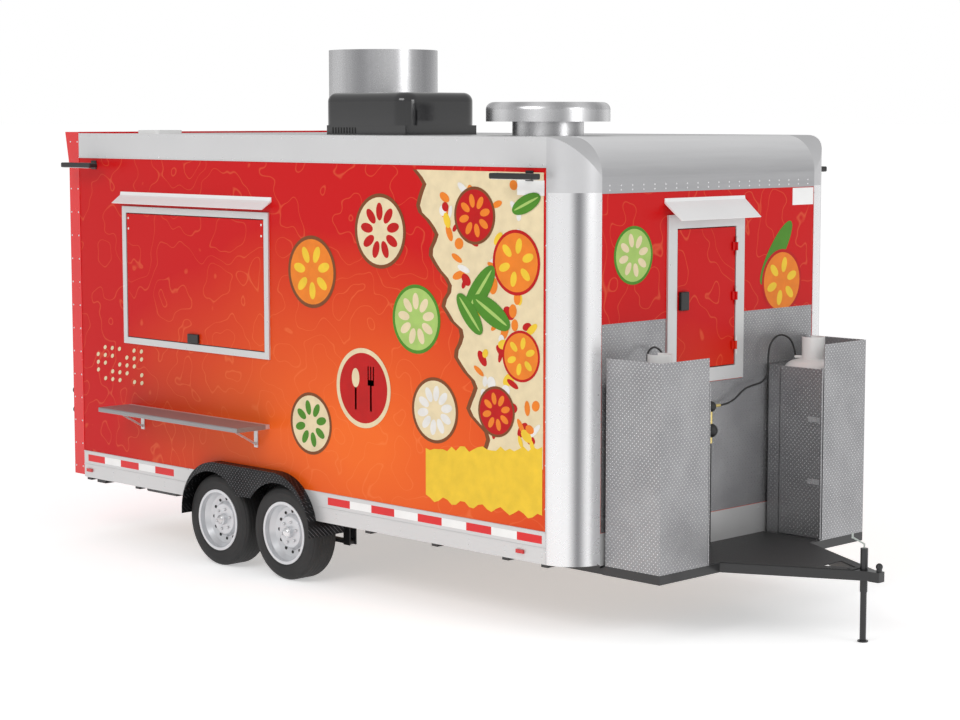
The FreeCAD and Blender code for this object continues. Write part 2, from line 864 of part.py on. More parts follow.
# ---- Fenders --------------------------------------------------------------
def make_fender(side):
    """Arch sheet over both wheels with a side plate inside and a web outside."""
    y = side_y(side, fender_inner_y, fender_outer_y)
    past = side_y(side, fender_inner_y + fender_sheet, fender_outer_y + fender_sheet)
    arch = arch_solid(0, y).cut(arch_solid(-fender_sheet, past))
    bottom_slot = block(
        span(axle_mid_x, 2 * (fender_half_length - fender_sheet)),
        past,
        (fender_bottom_z - fender_sheet, fender_bottom_z + fender_sheet),
    )
    open_below_floor = block(
        span(axle_mid_x, 2 * (fender_half_length - fender_sheet)),
        side_y(side, fender_inner_y - fender_sheet, fender_inner_y + 2 * fender_sheet),
        (0, frame_top_z),
    )
    arch = arch.cut(bottom_slot).cut(open_below_floor)
    plate = arch_solid(0, side_y(side, fender_outer_y - fender_sheet, fender_outer_y))
    for x in wheel_x.values():
        low = (x, side * (fender_outer_y - 2 * fender_sheet), tyre_radius)
        high = (x, side * (fender_outer_y + fender_sheet), tyre_radius)
        plate = plate.cut(rod(low, high, fender_lip_radius))
    between_wheels = block(
        span(axle_mid_x, axle_spread),
        side_y(side, fender_outer_y - 2 * fender_sheet, fender_outer_y + fender_sheet),
        (0, fender_web_bottom_z),
    )
    plate = plate.cut(between_wheels)
    return fuse([arch, plate])


# ---- Openings -------------------------------------------------------------
def hinge_axis(opening):
    """Upright hinge axis of the hatch or the rear door: place, way out, height limits."""
    reach = frame_proud - sheet + hinge_knuckle_radius
    if opening == "hatch":
        y = hatch_y[1] - hatch_frame_face - panel_gap / 2
        limits = panel_outline(hatch_z, hatch_frame_face)
        return reach, y, 1, limits
    y = rear_door_y[1] - frame_face - panel_gap / 2
    return rear_face_x - reach, y, -1, panel_outline(rear_door_z, frame_face)


def hinge_heights(limits):
    """Heights of the hinges on a door between two limits."""
    return [limits[0] + share * (limits[1] - limits[0]) for share in hinge_rows]


def fixed_hinges(opening):
    """Pins, end knuckles and leaves that are fixed to a frame."""
    x, y, out, limits = hinge_axis(opening)
    half = hinge_knuckle_length / 2 + 0.5
    pieces = []
    for z in hinge_heights(limits):
        low = z - half - hinge_end_length
        high = z + half + hinge_end_length
        pin = rod((x, y, low), (x, y, high), hinge_pin_radius)
        parts = [pin]
        for start, end in ((low, z - half), (z + half, high)):
            parts.append(rod((x, y, start), (x, y, end), hinge_knuckle_radius))
            leaf_x = (x - out * hinge_knuckle_radius, x - out * (hinge_knuckle_radius - sheet))
            parts.append(block(leaf_x, (y, y + hinge_leaf_width), (start, end)))
        pieces.append(fuse(parts))
    return pieces


def door_hinges(opening, face_x):
    """Middle knuckles and leaves that turn with a door."""
    x, y, out, limits = hinge_axis(opening)
    pieces = []
    bore_radius = hinge_pin_radius + spindle_clearance
    for z in hinge_heights(limits):
        low = z - hinge_knuckle_length / 2
        high = z + hinge_knuckle_length / 2
        knuckle = rod((x, y, low), (x, y, high), hinge_knuckle_radius)
        leaf = block((face_x, x - out * 2), (y - hinge_leaf_width, y - 2), (low, high))
        thin = block((x - out * 2, x + out * 20), (y - hinge_leaf_width - 1, y - 9), (low, high))
        leaf = leaf.cut(thin)
        joined = knuckle.fuse(leaf).cut(rod((x, y, low), (x, y, high), bore_radius))
        pieces.append(joined)
    return pieces


def make_opening_frames():
    """Frames of the serving window, the front hatch and the rear door."""
    right = side_y(-1, wall_inner_y, half_width + frame_proud - sheet)
    window = ring(window_x, right, window_z, frame_face, 1)
    hatch = ring((-sheet - wall, frame_proud - sheet), hatch_y, hatch_z, hatch_frame_face, 0)
    hatch = fuse([hatch] + fixed_hinges("hatch"))
    door_x = (rear_face_x + sheet - frame_proud, rear_face_x + sheet + wall)
    door = ring(door_x, rear_door_y, rear_door_z, frame_face, 0)
    door = fuse([door] + fixed_hinges("rear_door"))
    pieces = [window.multiFuse(strut_foot_pins()).removeSplitter(), hatch, door]
    return group(pieces)


def strut_places():
    """Middle of each strut along the trailer, with the side its pin comes from."""
    rear = window_x[0] + frame_face + strut_inset
    front = window_x[1] - frame_face - strut_inset
    return ((rear, -1), (front, 1))


def strut_foot_pins():
    """Pins on the window frame that carry the struts' lower eyes."""
    pins = []
    for x, edge in strut_places():
        jamb = x + edge * strut_inset
        end = x - edge * (strut_eye_width / 2 + 2)
        pins.append(rod((jamb, strut_y, strut_foot_z), (end, strut_y, strut_foot_z), strut_pin_radius))
        shoulder = x + edge * (strut_eye_width / 2 + 0.5)
        pins.append(rod((jamb, strut_y, strut_foot_z), (shoulder, strut_y, strut_foot_z), 7))
    return pins


def panel_outline(limits, face):
    """Limits of a panel inside its frame, with the running gap."""
    return (limits[0] + face + panel_gap, limits[1] - face - panel_gap)


def make_serving_window():
    """Top-hung panel with the brackets beside the struts' upper eyes."""
    outer = half_width + frame_proud - sheet - 3
    y = side_y(-1, outer - panel_thickness, outer)
    panel = block(panel_outline(window_x, frame_face), y, panel_outline(window_z, frame_face))
    pieces = [panel]
    inner_y = -(outer - panel_thickness)
    for x, edge in strut_places():
        ear_x = sorted((x - edge * (strut_eye_width / 2 + 1), x - edge * (strut_eye_width / 2 + 6)))
        ear_y = (inner_y, strut_y + 7)
        pieces.append(block(ear_x, ear_y, span(strut_eye_z, 26)))
        pin_start = (ear_x[0] if edge > 0 else ear_x[1], strut_y, strut_eye_z)
        pin_end = (x - edge * (strut_eye_width / 2 + strut_eye_gap), strut_y, strut_eye_z)
        pieces.append(rod(pin_start, pin_end, strut_pin_radius))
    return fuse(pieces)


def strut_eye(x, z):
    low = x - strut_eye_width / 2
    return rod((low, strut_y, z), (low + strut_eye_width, strut_y, z), strut_eye_radius)


def eye_hole(x, z):
    radius = strut_pin_radius + spindle_clearance
    return rod((x - 20, strut_y, z), (x + 20, strut_y, z), radius)


def make_strut_cylinders():
    struts = []
    for x, _ in strut_places():
        bottom = strut_foot_z + strut_eye_radius + 4
        top = bottom + strut_cylinder_length
        bore = strut_rod_radius + spindle_clearance
        barrel = rod((x, strut_y, bottom), (x, strut_y, top), strut_cylinder_radius)
        stem = rod((x, strut_y, strut_foot_z), (x, strut_y, bottom), strut_rod_radius)
        body = fuse([barrel, stem, strut_eye(x, strut_foot_z)])
        body = body.cut(rod((x, strut_y, bottom + 20), (x, strut_y, top), bore))
        struts.append(body.cut(eye_hole(x, strut_foot_z)))
    return group(struts)


def make_strut_rods():
    rods = []
    for x, _ in strut_places():
        top = strut_foot_z + strut_eye_radius + 4 + strut_cylinder_length
        start = top - strut_stroke - 60
        shaft = rod((x, strut_y, start), (x, strut_y, strut_eye_z), strut_rod_radius)
        body = fuse([shaft, strut_eye(x, strut_eye_z)])
        rods.append(body.cut(eye_hole(x, strut_eye_z)))
    return group(rods)


def make_window_latch():
    outer = half_width + frame_proud - sheet - 3
    right_end = window_x[1] - frame_face - latch_rear_gap
    x = (right_end - latch_size[0], right_end)
    bottom = window_z[0] + frame_face + panel_gap + 2
    body = block(x, side_y(-1, outer, outer + latch_size[1]), (bottom, bottom + latch_size[2]))
    return body.makeFillet(5, body.Edges)


def make_front_hatch():
    outer = frame_proud - sheet - 3
    x = (outer - panel_thickness, outer)
    leaf = block(
        x, panel_outline(hatch_y, hatch_frame_face), panel_outline(hatch_z, hatch_frame_face)
    )
    return fuse([leaf] + door_hinges("hatch", outer))


def make_hatch_latch():
    outer = frame_proud - sheet - 3
    low_y = hatch_y[0] + hatch_frame_face + panel_gap + 12
    body = block(
        (outer, outer + hatch_latch_size[1]),
        (low_y, low_y + hatch_latch_size[0]),
        span(hatch_latch_z, hatch_latch_size[2]),
    )
    return body.makeFillet(6, body.Edges)


def make_rear_door():
    face = rear_face_x + sheet - frame_proud + 3
    x = (face, face + panel_thickness)
    y = panel_outline(rear_door_y, frame_face)
    leaf = block(x, y, panel_outline(rear_door_z, frame_face))
    return fuse([leaf] + door_hinges("rear_door", face))


def make_rear_door_handle():
    face = rear_face_x + sheet - frame_proud + 3
    low_y = rear_door_y[0] + frame_face + panel_gap + 25
    body = block(
        (face - door_handle_size[1], face),
        (low_y, low_y + door_handle_size[2]),
        span(door_handle_z, door_handle_size[0]),
    )
    return body.makeFillet(6, body.Edges)


def make_drip_caps():
    """Bent sheet caps above the serving window and the front hatch."""
    t = sheet
    x = (window_x[0] - drip_cap_overhang, window_x[1] + drip_cap_overhang)
    wall_y = -skin_y
    z = window_drip_z
    side_profile = (
        (x[0], wall_y, z),
        (x[0], wall_y - t, z),
        (x[0], wall_y - t - 4, z - 22),
        (x[0], wall_y - drip_cap_reach, z - drip_cap_drop),
        (x[0], wall_y - drip_cap_reach + 2, z - drip_cap_drop - t),
        (x[0], wall_y, z - 30),
    )
    window_cap = prism(side_profile, [0] * 6, Vector(x[1] - x[0], 0, 0))
    y = (hatch_y[0] - drip_cap_overhang, hatch_y[1] + 8)
    face = -sheet
    z = hatch_drip_z
    front_profile = (
        (face, y[0], z),
        (face + t, y[0], z),
        (face + t + 4, y[0], z - 20),
        (face + hatch_drip_reach, y[0], z - hatch_drip_drop),
        (face + hatch_drip_reach - 2, y[0], z - hatch_drip_drop - t),
        (face, y[0], z - 30),
    )
    hatch_cap = prism(front_profile, [0] * 6, Vector(0, y[1] - y[0], 0))
    return group([window_cap, hatch_cap])


# ---- Shelf ----------------------------------------------------------------
def make_shelf():
    """Drop shelf with the two eyes that hold the upper brace bars."""
    y = side_y(-1, shelf_hinge_y, shelf_outer_y)
    z = (shelf_hinge_z, shelf_top_z)
    board = block(shelf_x, y, z)
    outer_edges = [edge for edge in board.Edges if edge.BoundBox.YMax < -shelf_outer_y + 1]
    board = board.makeChamfer(6, outer_edges)
    pieces = [board]
    eye_y = -(shelf_hinge_y + brace_eye_out)
    eye_z = shelf_hinge_z - brace_eye_down
    for x in brace_x:
        outer_face = x - brace_bar_gap / 2 - brace_bar_thickness
        lug = (outer_face - 7, outer_face - 1)
        pieces.append(block(lug, span(eye_y, 18), (eye_z - 7, shelf_hinge_z)))
        start = (lug[0], eye_y, eye_z)
        end = (x - brace_bar_gap / 2 + 0.5, eye_y, eye_z)
        pieces.append(rod(start, end, brace_pin_radius))
    return fuse(pieces)


def make_shelf_rail():
    """Hinge rail on the wall with the two legs that hold the lower brace bars."""
    rail_y_span = side_y(-1, skin_y, shelf_hinge_y - shelf_clearance)
    pieces = [block(shelf_x, rail_y_span, (shelf_hinge_z + 2, shelf_top_z - 1))]
    for x in brace_x:
        leg_y = side_y(-1, skin_y, half_width + 3)
        leg_x = span(x, brace_leg_width)
        pieces.append(block(leg_x, leg_y, (brace_leg_bottom_z, shelf_hinge_z + 4)))
        inner_face = x + brace_bar_gap / 2 + brace_bar_thickness
        lug = (inner_face + 1, inner_face + 7)
        pieces.append(block(lug, side_y(-1, skin_y, brace_foot_y + 8), span(brace_foot_z, 18)))
        start = (lug[1], -brace_foot_y, brace_foot_z)
        end = (x + brace_bar_gap / 2 - 0.5, -brace_foot_y, brace_foot_z)
        pieces.append(rod(start, end, brace_pin_radius))
    return fuse(pieces)


def brace_direction():
    """Unit vector from a brace's foot on the wall to its eye under the shelf."""
    eye_y = -(shelf_hinge_y + brace_eye_out)
    eye_z = shelf_hinge_z - brace_eye_down
    return Vector(0, eye_y + brace_foot_y, eye_z - brace_foot_z)


def brace_bar(start, end, x_low, pinned_start):
    """Flat bar with round ends; one end has the hole for its pin."""
    axis = (end - start).normalize()
    across = Vector(0, -axis.z, axis.y) * (brace_bar_width / 2)
    base = Vector(x_low, 0, 0)
    corners = [start + across, end + across, end - across, start - across]
    flat = Part.makePolygon([corner + base for corner in corners + corners[:1]])
    bar = Part.Face(flat).extrude(Vector(brace_bar_thickness, 0, 0))
    pieces = [bar]
    for point in (start, end):
        low = (x_low, point.y, point.z)
        high = (x_low + brace_bar_thickness, point.y, point.z)
        pieces.append(rod(low, high, brace_bar_width / 2))
    body = fuse(pieces)
    pin = start if pinned_start else end
    radius = brace_pin_radius + spindle_clearance
    hole = rod((x_low - 5, pin.y, pin.z), (x_low + 10, pin.y, pin.z), radius)
    return body.cut(hole)


def make_braces(which):
    bars = []
    whole = brace_direction()
    foot = Vector(0, -brace_foot_y, brace_foot_z)
    knee = foot + Vector(whole).normalize() * brace_lower_length
    eye = foot + whole
    for x in brace_x:
        if which == "lower":
            bars.append(brace_bar(foot, knee, x + brace_bar_gap / 2, True))
        else:
            low = x - brace_bar_gap / 2 - brace_bar_thickness
            bars.append(brace_bar(knee, eye, low, False))
    return group(bars)


# ---- Gas gear -------------------------------------------------------------
def make_gas_enclosures():
    """Three-sided sheet boxes with a jamb beside the wall and hinge lugs."""
    boxes = []
    t = enclosure_sheet
    for side in sides.values():
        x = (enclosure_wall_gap, enclosure_wall_gap + enclosure_depth)
        z = (tongue_top_z, enclosure_top_z)
        outer = block(x, side_y(side, platform_outer_y - t, platform_outer_y), z)
        front = block(
            (x[1] - t, x[1]), side_y(side, enclosure_inner_y + 14, platform_outer_y), z
        )
        jamb_z = (tongue_top_z, enclosure_inner_top_z)
        jamb = block(
            (x[0], x[0] + enclosure_jamb), side_y(side, enclosure_inner_y, enclosure_inner_y + t), jamb_z
        )
        base = block(x, side_y(side, enclosure_inner_y, platform_outer_y), (tongue_top_z, tongue_top_z + t))
        back = block((x[0], x[0] + t), side_y(side, enclosure_inner_y, platform_outer_y), jamb_z)
        hinge = gas_hinge(side)
        ear_z = (enclosure_inner_top_z + 1, enclosure_inner_top_z + 1 + gas_hinge_ear)
        ear_y = (side * enclosure_inner_y - side * t, side * (enclosure_inner_y + 25))
        ear = block((hinge[0] - 2 * t, x[1]), ear_y, ear_z)
        pin = rod((*hinge, z[0]), (*hinge, ear_z[1]), gas_pin_radius)
        boxes.append(fuse([outer, front, jamb, base, back, ear, pin]))
    return group(boxes)


def gas_hinge(side):
    """Centre of a gas door's upright hinge."""
    x = enclosure_wall_gap + enclosure_depth - gas_hinge_radius
    y = side * (enclosure_inner_y + enclosure_sheet / 2)
    return x, y


def make_gas_door(side):
    x_hinge, y_hinge = gas_hinge(side)
    jamb_end = enclosure_wall_gap + enclosure_jamb
    z = (tongue_top_z + deck_thickness + gas_door_gap, enclosure_inner_top_z)
    leaf = block(
        (jamb_end + gas_door_gap, x_hinge),
        side_y(side, enclosure_inner_y, enclosure_inner_y + enclosure_sheet),
        z,
    )
    barrel = rod((x_hinge, y_hinge, z[0]), (x_hinge, y_hinge, z[1]), gas_hinge_radius)
    bore_radius = gas_pin_radius + spindle_clearance
    bore = rod((x_hinge, y_hinge, z[0]), (x_hinge, y_hinge, z[1]), bore_radius)
    return fuse([leaf, barrel]).cut(bore)


def make_gas_bottles():
    bottles = []
    base = tongue_top_z + enclosure_sheet
    for side in sides.values():
        centre = (bottle_x, side * bottle_y)
        body = turned_z(
            (
                (0, base + bottle_foot_height, 0),
                (bottle_radius, base + bottle_foot_height, 60),
                (bottle_radius, bottle_shoulder_z + 85, 80),
                (45, bottle_dome_z, 30),
                (0, bottle_dome_z, 0),
            ),
            centre,
        )
        foot_ring = tube(
            (*centre, base), (*centre, base + bottle_foot_height + 20),
            bottle_foot_radius, bottle_foot_radius - collar_wall,
        )
        collar = tube(
            (*centre, bottle_dome_z - 12), (*centre, collar_top_z),
            collar_radius, collar_radius - collar_wall,
        )
        outlet = hose_route(side)[0]
        window = block(
            (centre[0] - 2 * collar_radius, centre[0] - 20),
            (centre[1] - 45, centre[1] + 45),
            (bottle_dome_z + 4, collar_top_z + sheet),
        )
        collar = collar.cut(window)
        valve = rod((*centre, bottle_dome_z - 10), (*centre, bottle_dome_z + 60), valve_radius)
        rising = (hose_route(side)[1] - outlet).normalize()
        elbow = outlet - rising * (elbow_radius + 0.4)
        nozzle = rod((centre[0], centre[1], elbow.z), tuple(elbow), elbow_radius)
        nozzle = nozzle.fuse(Part.makeSphere(elbow_radius, elbow))
        handle = rod((*centre, bottle_dome_z + 60), (*centre, bottle_dome_z + 78), 26)
        bottles.append(fuse([body, foot_ring, collar, valve, nozzle, handle]))
    return group(bottles)


def make_regulators():
    """Two-stage regulator: upper and lower black bodies on wall studs."""
    upper = Part.makeSphere(
        regulator_upper_radius, Vector(regulator_stand, regulator_y, regulator_upper_z)
    )
    lower = Part.makeSphere(
        regulator_lower_radius, Vector(regulator_stand, regulator_y, regulator_lower_z)
    )
    bodies = []
    for ball, z in ((upper, regulator_upper_z), (lower, regulator_lower_z)):
        stud = rod((-sheet, regulator_y, z), (regulator_stand, regulator_y, z), 12)
        bodies.append(fuse([ball, stud]))
    return group(bodies)


def regulator_gap():
    """Lower end of the upper body and upper end of the lower body."""
    top = regulator_upper_z - regulator_upper_radius
    bottom = regulator_lower_z + regulator_lower_radius
    return bottom, top


def make_brass_fittings():
    x = regulator_stand
    low, high = regulator_gap()
    pieces = [rod((x, regulator_y, low - 3), (x, regulator_y, high + 3), fitting_radius)]
    bottom = regulator_lower_z - regulator_lower_radius
    pieces.append(
        rod((x, regulator_y, bottom - fitting_length), (x, regulator_y, bottom + 3), fitting_radius)
    )
    for side in sides.values():
        end = side_hose_end(side)
        start = regulator_y + side * (regulator_upper_radius - 3)
        pieces.append(rod((x, start, end.z), (x, end.y - side * 0.4, end.z), fitting_radius - 1.5))
    whole = group(pieces)
    bodies = [
        Part.makeSphere(radius + regulator_seat, Vector(x, regulator_y, z))
        for radius, z in (
            (regulator_upper_radius, regulator_upper_z),
            (regulator_lower_radius, regulator_lower_z),
        )
    ]
    return whole.cut(group(bodies))


def make_gas_pipe():
    top = regulator_lower_z - regulator_lower_radius - fitting_length
    start = (regulator_stand, regulator_y, tongue_top_z + deck_thickness)
    return rod(start, (regulator_stand, regulator_y, top), pipe_radius)


def hose_route(side):
    """Corner points of one hose from its bottle to the regulator."""
    points = hose_left_points if side > 0 else hose_right_points
    return [Vector(*point) for point in points]


def side_hose_end(side):
    """Where a hose meets its fitting on the upper regulator body."""
    return hose_route(side)[-1]


def make_hose(name, side):
    route = hose_route(side)
    radii = [0]
    for before, corner, after in zip(route, route[1:], route[2:]):
        shorter = min(corner.distanceToPoint(before), corner.distanceToPoint(after))
        half_turn = (corner - before).getAngle(after - corner) / 2
        radii.append(0.45 * shorter / math.tan(half_turn))
    radii.append(0)
    path = rounded_wire([tuple(point) for point in route], radii, False)
    direction = route[1] - route[0]
    section = Part.Wire(Part.makeCircle(hose_diameter / 2, route[0], direction))
    hose = path.makePipeShell([section], True, True)
    if hose.Volume < 0:
        hose = hose.reversed()
    expected = math.pi * (hose_diameter / 2) ** 2 * path.Length
    print(name, "length %.0f mm" % path.Length, "volume ratio %.4f" % (hose.Volume / expected))
    print("  bend radii in diameters:", [round(r / hose_diameter, 1) for r in radii[1:-1]])
    return hose


# ---- Roof gear, lamps and tank --------------------------------------------
def make_air_conditioner():
    x = span(cooler_centre[0], cooler_size[0])
    y = span(cooler_centre[1], cooler_size[1])
    low_x = (x[0] + cooler_inset, x[1] - cooler_inset)
    low_y = (y[0] + cooler_inset, y[1] - cooler_inset)
    base_top = roof_top_z + cooler_skirt_height
    base = block(low_x, low_y, (roof_top_z, base_top))
    outline = ((x[0], y[0], base_top), (x[1], y[0], base_top), (x[1], y[1], base_top), (x[0], y[1], base_top))
    shroud = prism(outline, (70, 110, 110, 70), Vector(0, 0, cooler_top_z - base_top))
    top_edges = [edge for edge in shroud.Edges if edge.BoundBox.ZMin > cooler_top_z - 1]
    shroud = shroud.makeFillet(60, top_edges)
    return fuse([base, shroud])


def make_exhaust_hood():
    floor_z = exhaust_top_z - exhaust_well
    base = (*exhaust_centre, roof_top_z)
    top = (*exhaust_centre, exhaust_top_z)
    band = rod(base, top, exhaust_radius)
    well = rod((*exhaust_centre, floor_z), top, exhaust_radius - exhaust_wall)
    return band.cut(well)


def make_relief_vent():
    profile = (
        (0, roof_top_z, 0),
        (relief_base_radius, roof_top_z, 0),
        (relief_base_radius, relief_cap_bottom_z, 0),
        (relief_cap_radius - 12, relief_cap_bottom_z, 0),
        (relief_cap_radius - 12, relief_cap_bottom_z - 10, 0),
        (relief_cap_radius, relief_cap_bottom_z - 10, 0),
        (relief_cap_radius, relief_cap_top_z, relief_cap_edge),
        (0, relief_cap_top_z, 0),
    )
    return turned_z(profile, relief_centre)


def make_roof_vent():
    x = span(low_vent_centre[0], low_vent_side)
    y = span(low_vent_centre[1], low_vent_side)
    lid = block(x, y, (roof_top_z, roof_top_z + low_vent_height))
    upright = [edge for edge in lid.Edges if edge.BoundBox.ZLength > 1]
    return lid.makeFillet(25, upright)


def make_lamps():
    """Flood lamps on the sides and tail lamps at the rear."""
    lamps = []
    for side in sides.values():
        for x in lamp_x:
            y = side_y(side, half_width + lamp_stand, lamp_outer_y)
            head = block(span(x, lamp_length), y, span(lamp_z, lamp_height))
            head = head.makeFillet(8, head.Edges)
            arm_y = side_y(side, skin_y, half_width + lamp_stand + 10)
            arm = block(span(x, lamp_arm), arm_y, span(lamp_z + 6, lamp_height / 3))
            plate = block(span(x, 2 * lamp_arm), side_y(side, skin_y, half_width + 3), span(lamp_z, 60))
            lamps.append(fuse([head, arm, plate]))
        for z in tail_lamp_z:
            start = (rear_face_x, side * tail_lamp_y, z)
            end = (rear_face_x - tail_lamp_depth, side * tail_lamp_y, z)
            lamps.append(rod(start, end, tail_lamp_radius / 2))
    return group(lamps)


def make_plate_bracket():
    depth, width, height = plate_bracket_size
    x = (rear_face_x + sheet - depth, rear_face_x + sheet)
    plate = block(x, span(plate_bracket_y, width), span(plate_bracket_z, height))
    for y in span(plate_bracket_y, plate_hole_spacing[0]):
        for z in span(plate_bracket_z, plate_hole_spacing[1]):
            plate = plate.cut(rod((x[0], y, z), (x[1], y, z), plate_hole_radius))
    return plate


def make_waste_tank():
    """Side tank outside the right rail, and the two folded rear stabilisers."""
    z = (waste_tank_bottom_z, frame_top_z)
    tank = block(waste_tank_x, side_y(sides["right"], *waste_tank_y), z)
    low_edges = [edge for edge in tank.Edges if edge.BoundBox.ZMax < waste_tank_bottom_z + 1]
    pieces = [tank.makeFillet(12, low_edges)]
    rear_x = rear_post_x + sheet + rail_width
    for side in sides.values():
        x = (rear_x, rear_x + stabiliser_length)
        pieces.append(block(x, side_y(side, *stabiliser_y), z))
    return group(pieces)


# ---- Write every piece ----------------------------------------------------
save("chassis_frame", make_chassis_frame())
save("tongue_frame", make_tongue_frame())
save("tongue_deck", make_tongue_deck())
save("coupler", make_coupler())
save("jack_tube", make_jack_tube())
save("jack_leg", make_jack_leg())
save("jack_crank", make_jack_crank())
save("axles", make_axles())
save("leaf_springs", make_leaf_springs())
for side_name, side in sides.items():
    for end_name, x in wheel_x.items():
        save(f"tyre_{end_name}_{side_name}", make_tyre(x, side))
        save(f"rim_{end_name}_{side_name}", make_rim(x, side))
save("fenders", group([make_fender(side) for side in sides.values()]))
save("floor", make_floor())
save("wall_right", make_side_wall(sides["right"]))
save("wall_left", make_side_wall(sides["left"]))
save("wall_front", make_front_wall())
save("wall_rear", make_rear_wall())
save("roof", make_roof())
save("rear_frame", make_rear_frame())
save("front_corners", make_front_corners())
save("top_corners", make_top_corners())
save("front_top_radius", make_front_top_radius())
save("roof_edges", make_roof_edges())
save("skirts", make_skirts())
save("opening_frames", make_opening_frames())
save("serving_window", make_serving_window())
save("window_latch", make_window_latch())
save("strut_cylinders", make_strut_cylinders())
save("strut_rods", make_strut_rods())
save("front_hatch", make_front_hatch())
save("hatch_latch", make_hatch_latch())
save("rear_door", make_rear_door())
save("rear_door_handle", make_rear_door_handle())
save("drip_caps", make_drip_caps())
save("shelf", make_shelf())
save("shelf_rail", make_shelf_rail())
save("brace_lower", make_braces("lower"))
save("brace_upper", make_braces("upper"))
save("gas_enclosures", make_gas_enclosures())
for side_name, side in sides.items():
    save(f"gas_door_{side_name}", make_gas_door(side))
    save(f"gas_hose_{side_name}", make_hose(f"gas_hose_{side_name}", side))
save("gas_bottles", make_gas_bottles())
save("regulators", make_regulators())
save("brass_fittings", make_brass_fittings())
save("gas_pipe", make_gas_pipe())
save("air_conditioner", make_air_conditioner())
save("exhaust_hood", make_exhaust_hood())
save("relief_vent", make_relief_vent())
save("roof_vent", make_roof_vent())
save("lamps", make_lamps())
save("plate_bracket", make_plate_bracket())
save("waste_tank", make_waste_tank())
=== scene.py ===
"""Looks of the food trailer: finishes, wrap print, rivets, tape, wheels' small parts and hoses."""
import bpy
import json
import math
import random
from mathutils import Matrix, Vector


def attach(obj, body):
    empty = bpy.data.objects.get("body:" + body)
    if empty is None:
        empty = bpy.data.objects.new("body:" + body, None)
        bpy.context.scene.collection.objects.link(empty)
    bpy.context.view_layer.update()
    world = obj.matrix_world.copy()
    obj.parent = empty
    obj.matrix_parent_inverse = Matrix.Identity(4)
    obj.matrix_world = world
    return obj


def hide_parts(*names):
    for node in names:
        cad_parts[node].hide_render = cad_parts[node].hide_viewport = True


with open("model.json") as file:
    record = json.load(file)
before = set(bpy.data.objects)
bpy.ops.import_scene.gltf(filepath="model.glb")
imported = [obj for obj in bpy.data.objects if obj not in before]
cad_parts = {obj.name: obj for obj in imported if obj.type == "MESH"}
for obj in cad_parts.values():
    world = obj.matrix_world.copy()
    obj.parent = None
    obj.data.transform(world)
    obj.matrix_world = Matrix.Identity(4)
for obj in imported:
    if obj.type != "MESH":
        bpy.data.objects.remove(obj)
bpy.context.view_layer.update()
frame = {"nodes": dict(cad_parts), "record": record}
random.seed(7)

# ---- Layout: the trailer's own frame (front wall at x 0), moved to the part's frame ----
SHIFT = Vector((1.83625, 0.0575, 0.0))
RIGHT_SKIN = -1.2175
LEFT_SKIN = 1.2175
WINDOW_SKIN = -1.2263
WHEEL_X = (-2.5455, -3.2285)
WHEEL_Z = 0.308
WHEEL_Y = 1.1325
LUG_CIRCLE = 0.070
VENT_CIRCLE = 0.135
EXHAUST_CENTRE = (-3.40, 0.45)
RELIEF_CENTRE = (-1.36, 0.0)


class Value:
    """A shader value that takes plain arithmetic."""

    def __init__(self, tree, socket):
        self.tree = tree
        self.socket = socket

    def do(self, operation, *others):
        node = self.tree.nodes.new("ShaderNodeMath")
        node.operation = operation
        for index, item in enumerate((self,) + others):
            if isinstance(item, Value):
                self.tree.links.new(item.socket, node.inputs[index])
            else:
                node.inputs[index].default_value = float(item)
        return Value(self.tree, node.outputs[0])

    def __add__(self, other):
        return self.do("ADD", other)

    def __radd__(self, other):
        return self.do("ADD", other)

    def __sub__(self, other):
        return self.do("SUBTRACT", other)

    def __rsub__(self, other):
        return self.do("MULTIPLY", -1.0) + other

    def __mul__(self, other):
        return self.do("MULTIPLY", other)

    def __rmul__(self, other):
        return self.do("MULTIPLY", other)

    def __truediv__(self, other):
        return self.do("DIVIDE", other)

    def clamp(self):
        return self.do("MAXIMUM", 0.0).do("MINIMUM", 1.0)


def new_material(name):
    material = bpy.data.materials.new(name)
    material.use_nodes = True
    tree = material.node_tree
    shader = tree.nodes["Principled BSDF"]
    coords = tree.nodes.new("ShaderNodeTexCoord").outputs["Object"]
    split = tree.nodes.new("ShaderNodeSeparateXYZ")
    tree.links.new(coords, split.inputs[0])
    axes = [Value(tree, split.outputs[i]) for i in range(3)]
    return material, tree, shader, coords, axes


def noise(tree, coords, scale, detail=3.0, stretch=None):
    node = tree.nodes.new("ShaderNodeTexNoise")
    node.inputs["Scale"].default_value = scale
    node.inputs["Detail"].default_value = detail
    source = coords
    if stretch:
        mapping = tree.nodes.new("ShaderNodeMapping")
        mapping.inputs["Scale"].default_value = stretch
        tree.links.new(coords, mapping.inputs["Vector"])
        source = mapping.outputs[0]
    tree.links.new(source, node.inputs["Vector"])
    return Value(tree, node.outputs["Fac"])


def mix(tree, amount, first, second):
    node = tree.nodes.new("ShaderNodeMix")
    node.data_type = "RGBA"
    tree.links.new(amount.socket, node.inputs[0])
    for slot, item in ((6, first), (7, second)):
        if isinstance(item, tuple):
            node.inputs[slot].default_value = (*item, 1.0)
        else:
            tree.links.new(item, node.inputs[slot])
    return node.outputs[2]


def add_bump(tree, shader, height, strength, distance=0.002):
    node = tree.nodes.new("ShaderNodeBump")
    node.inputs["Strength"].default_value = strength
    node.inputs["Distance"].default_value = distance
    tree.links.new(height.socket, node.inputs["Height"])
    tree.links.new(node.outputs[0], shader.inputs["Normal"])


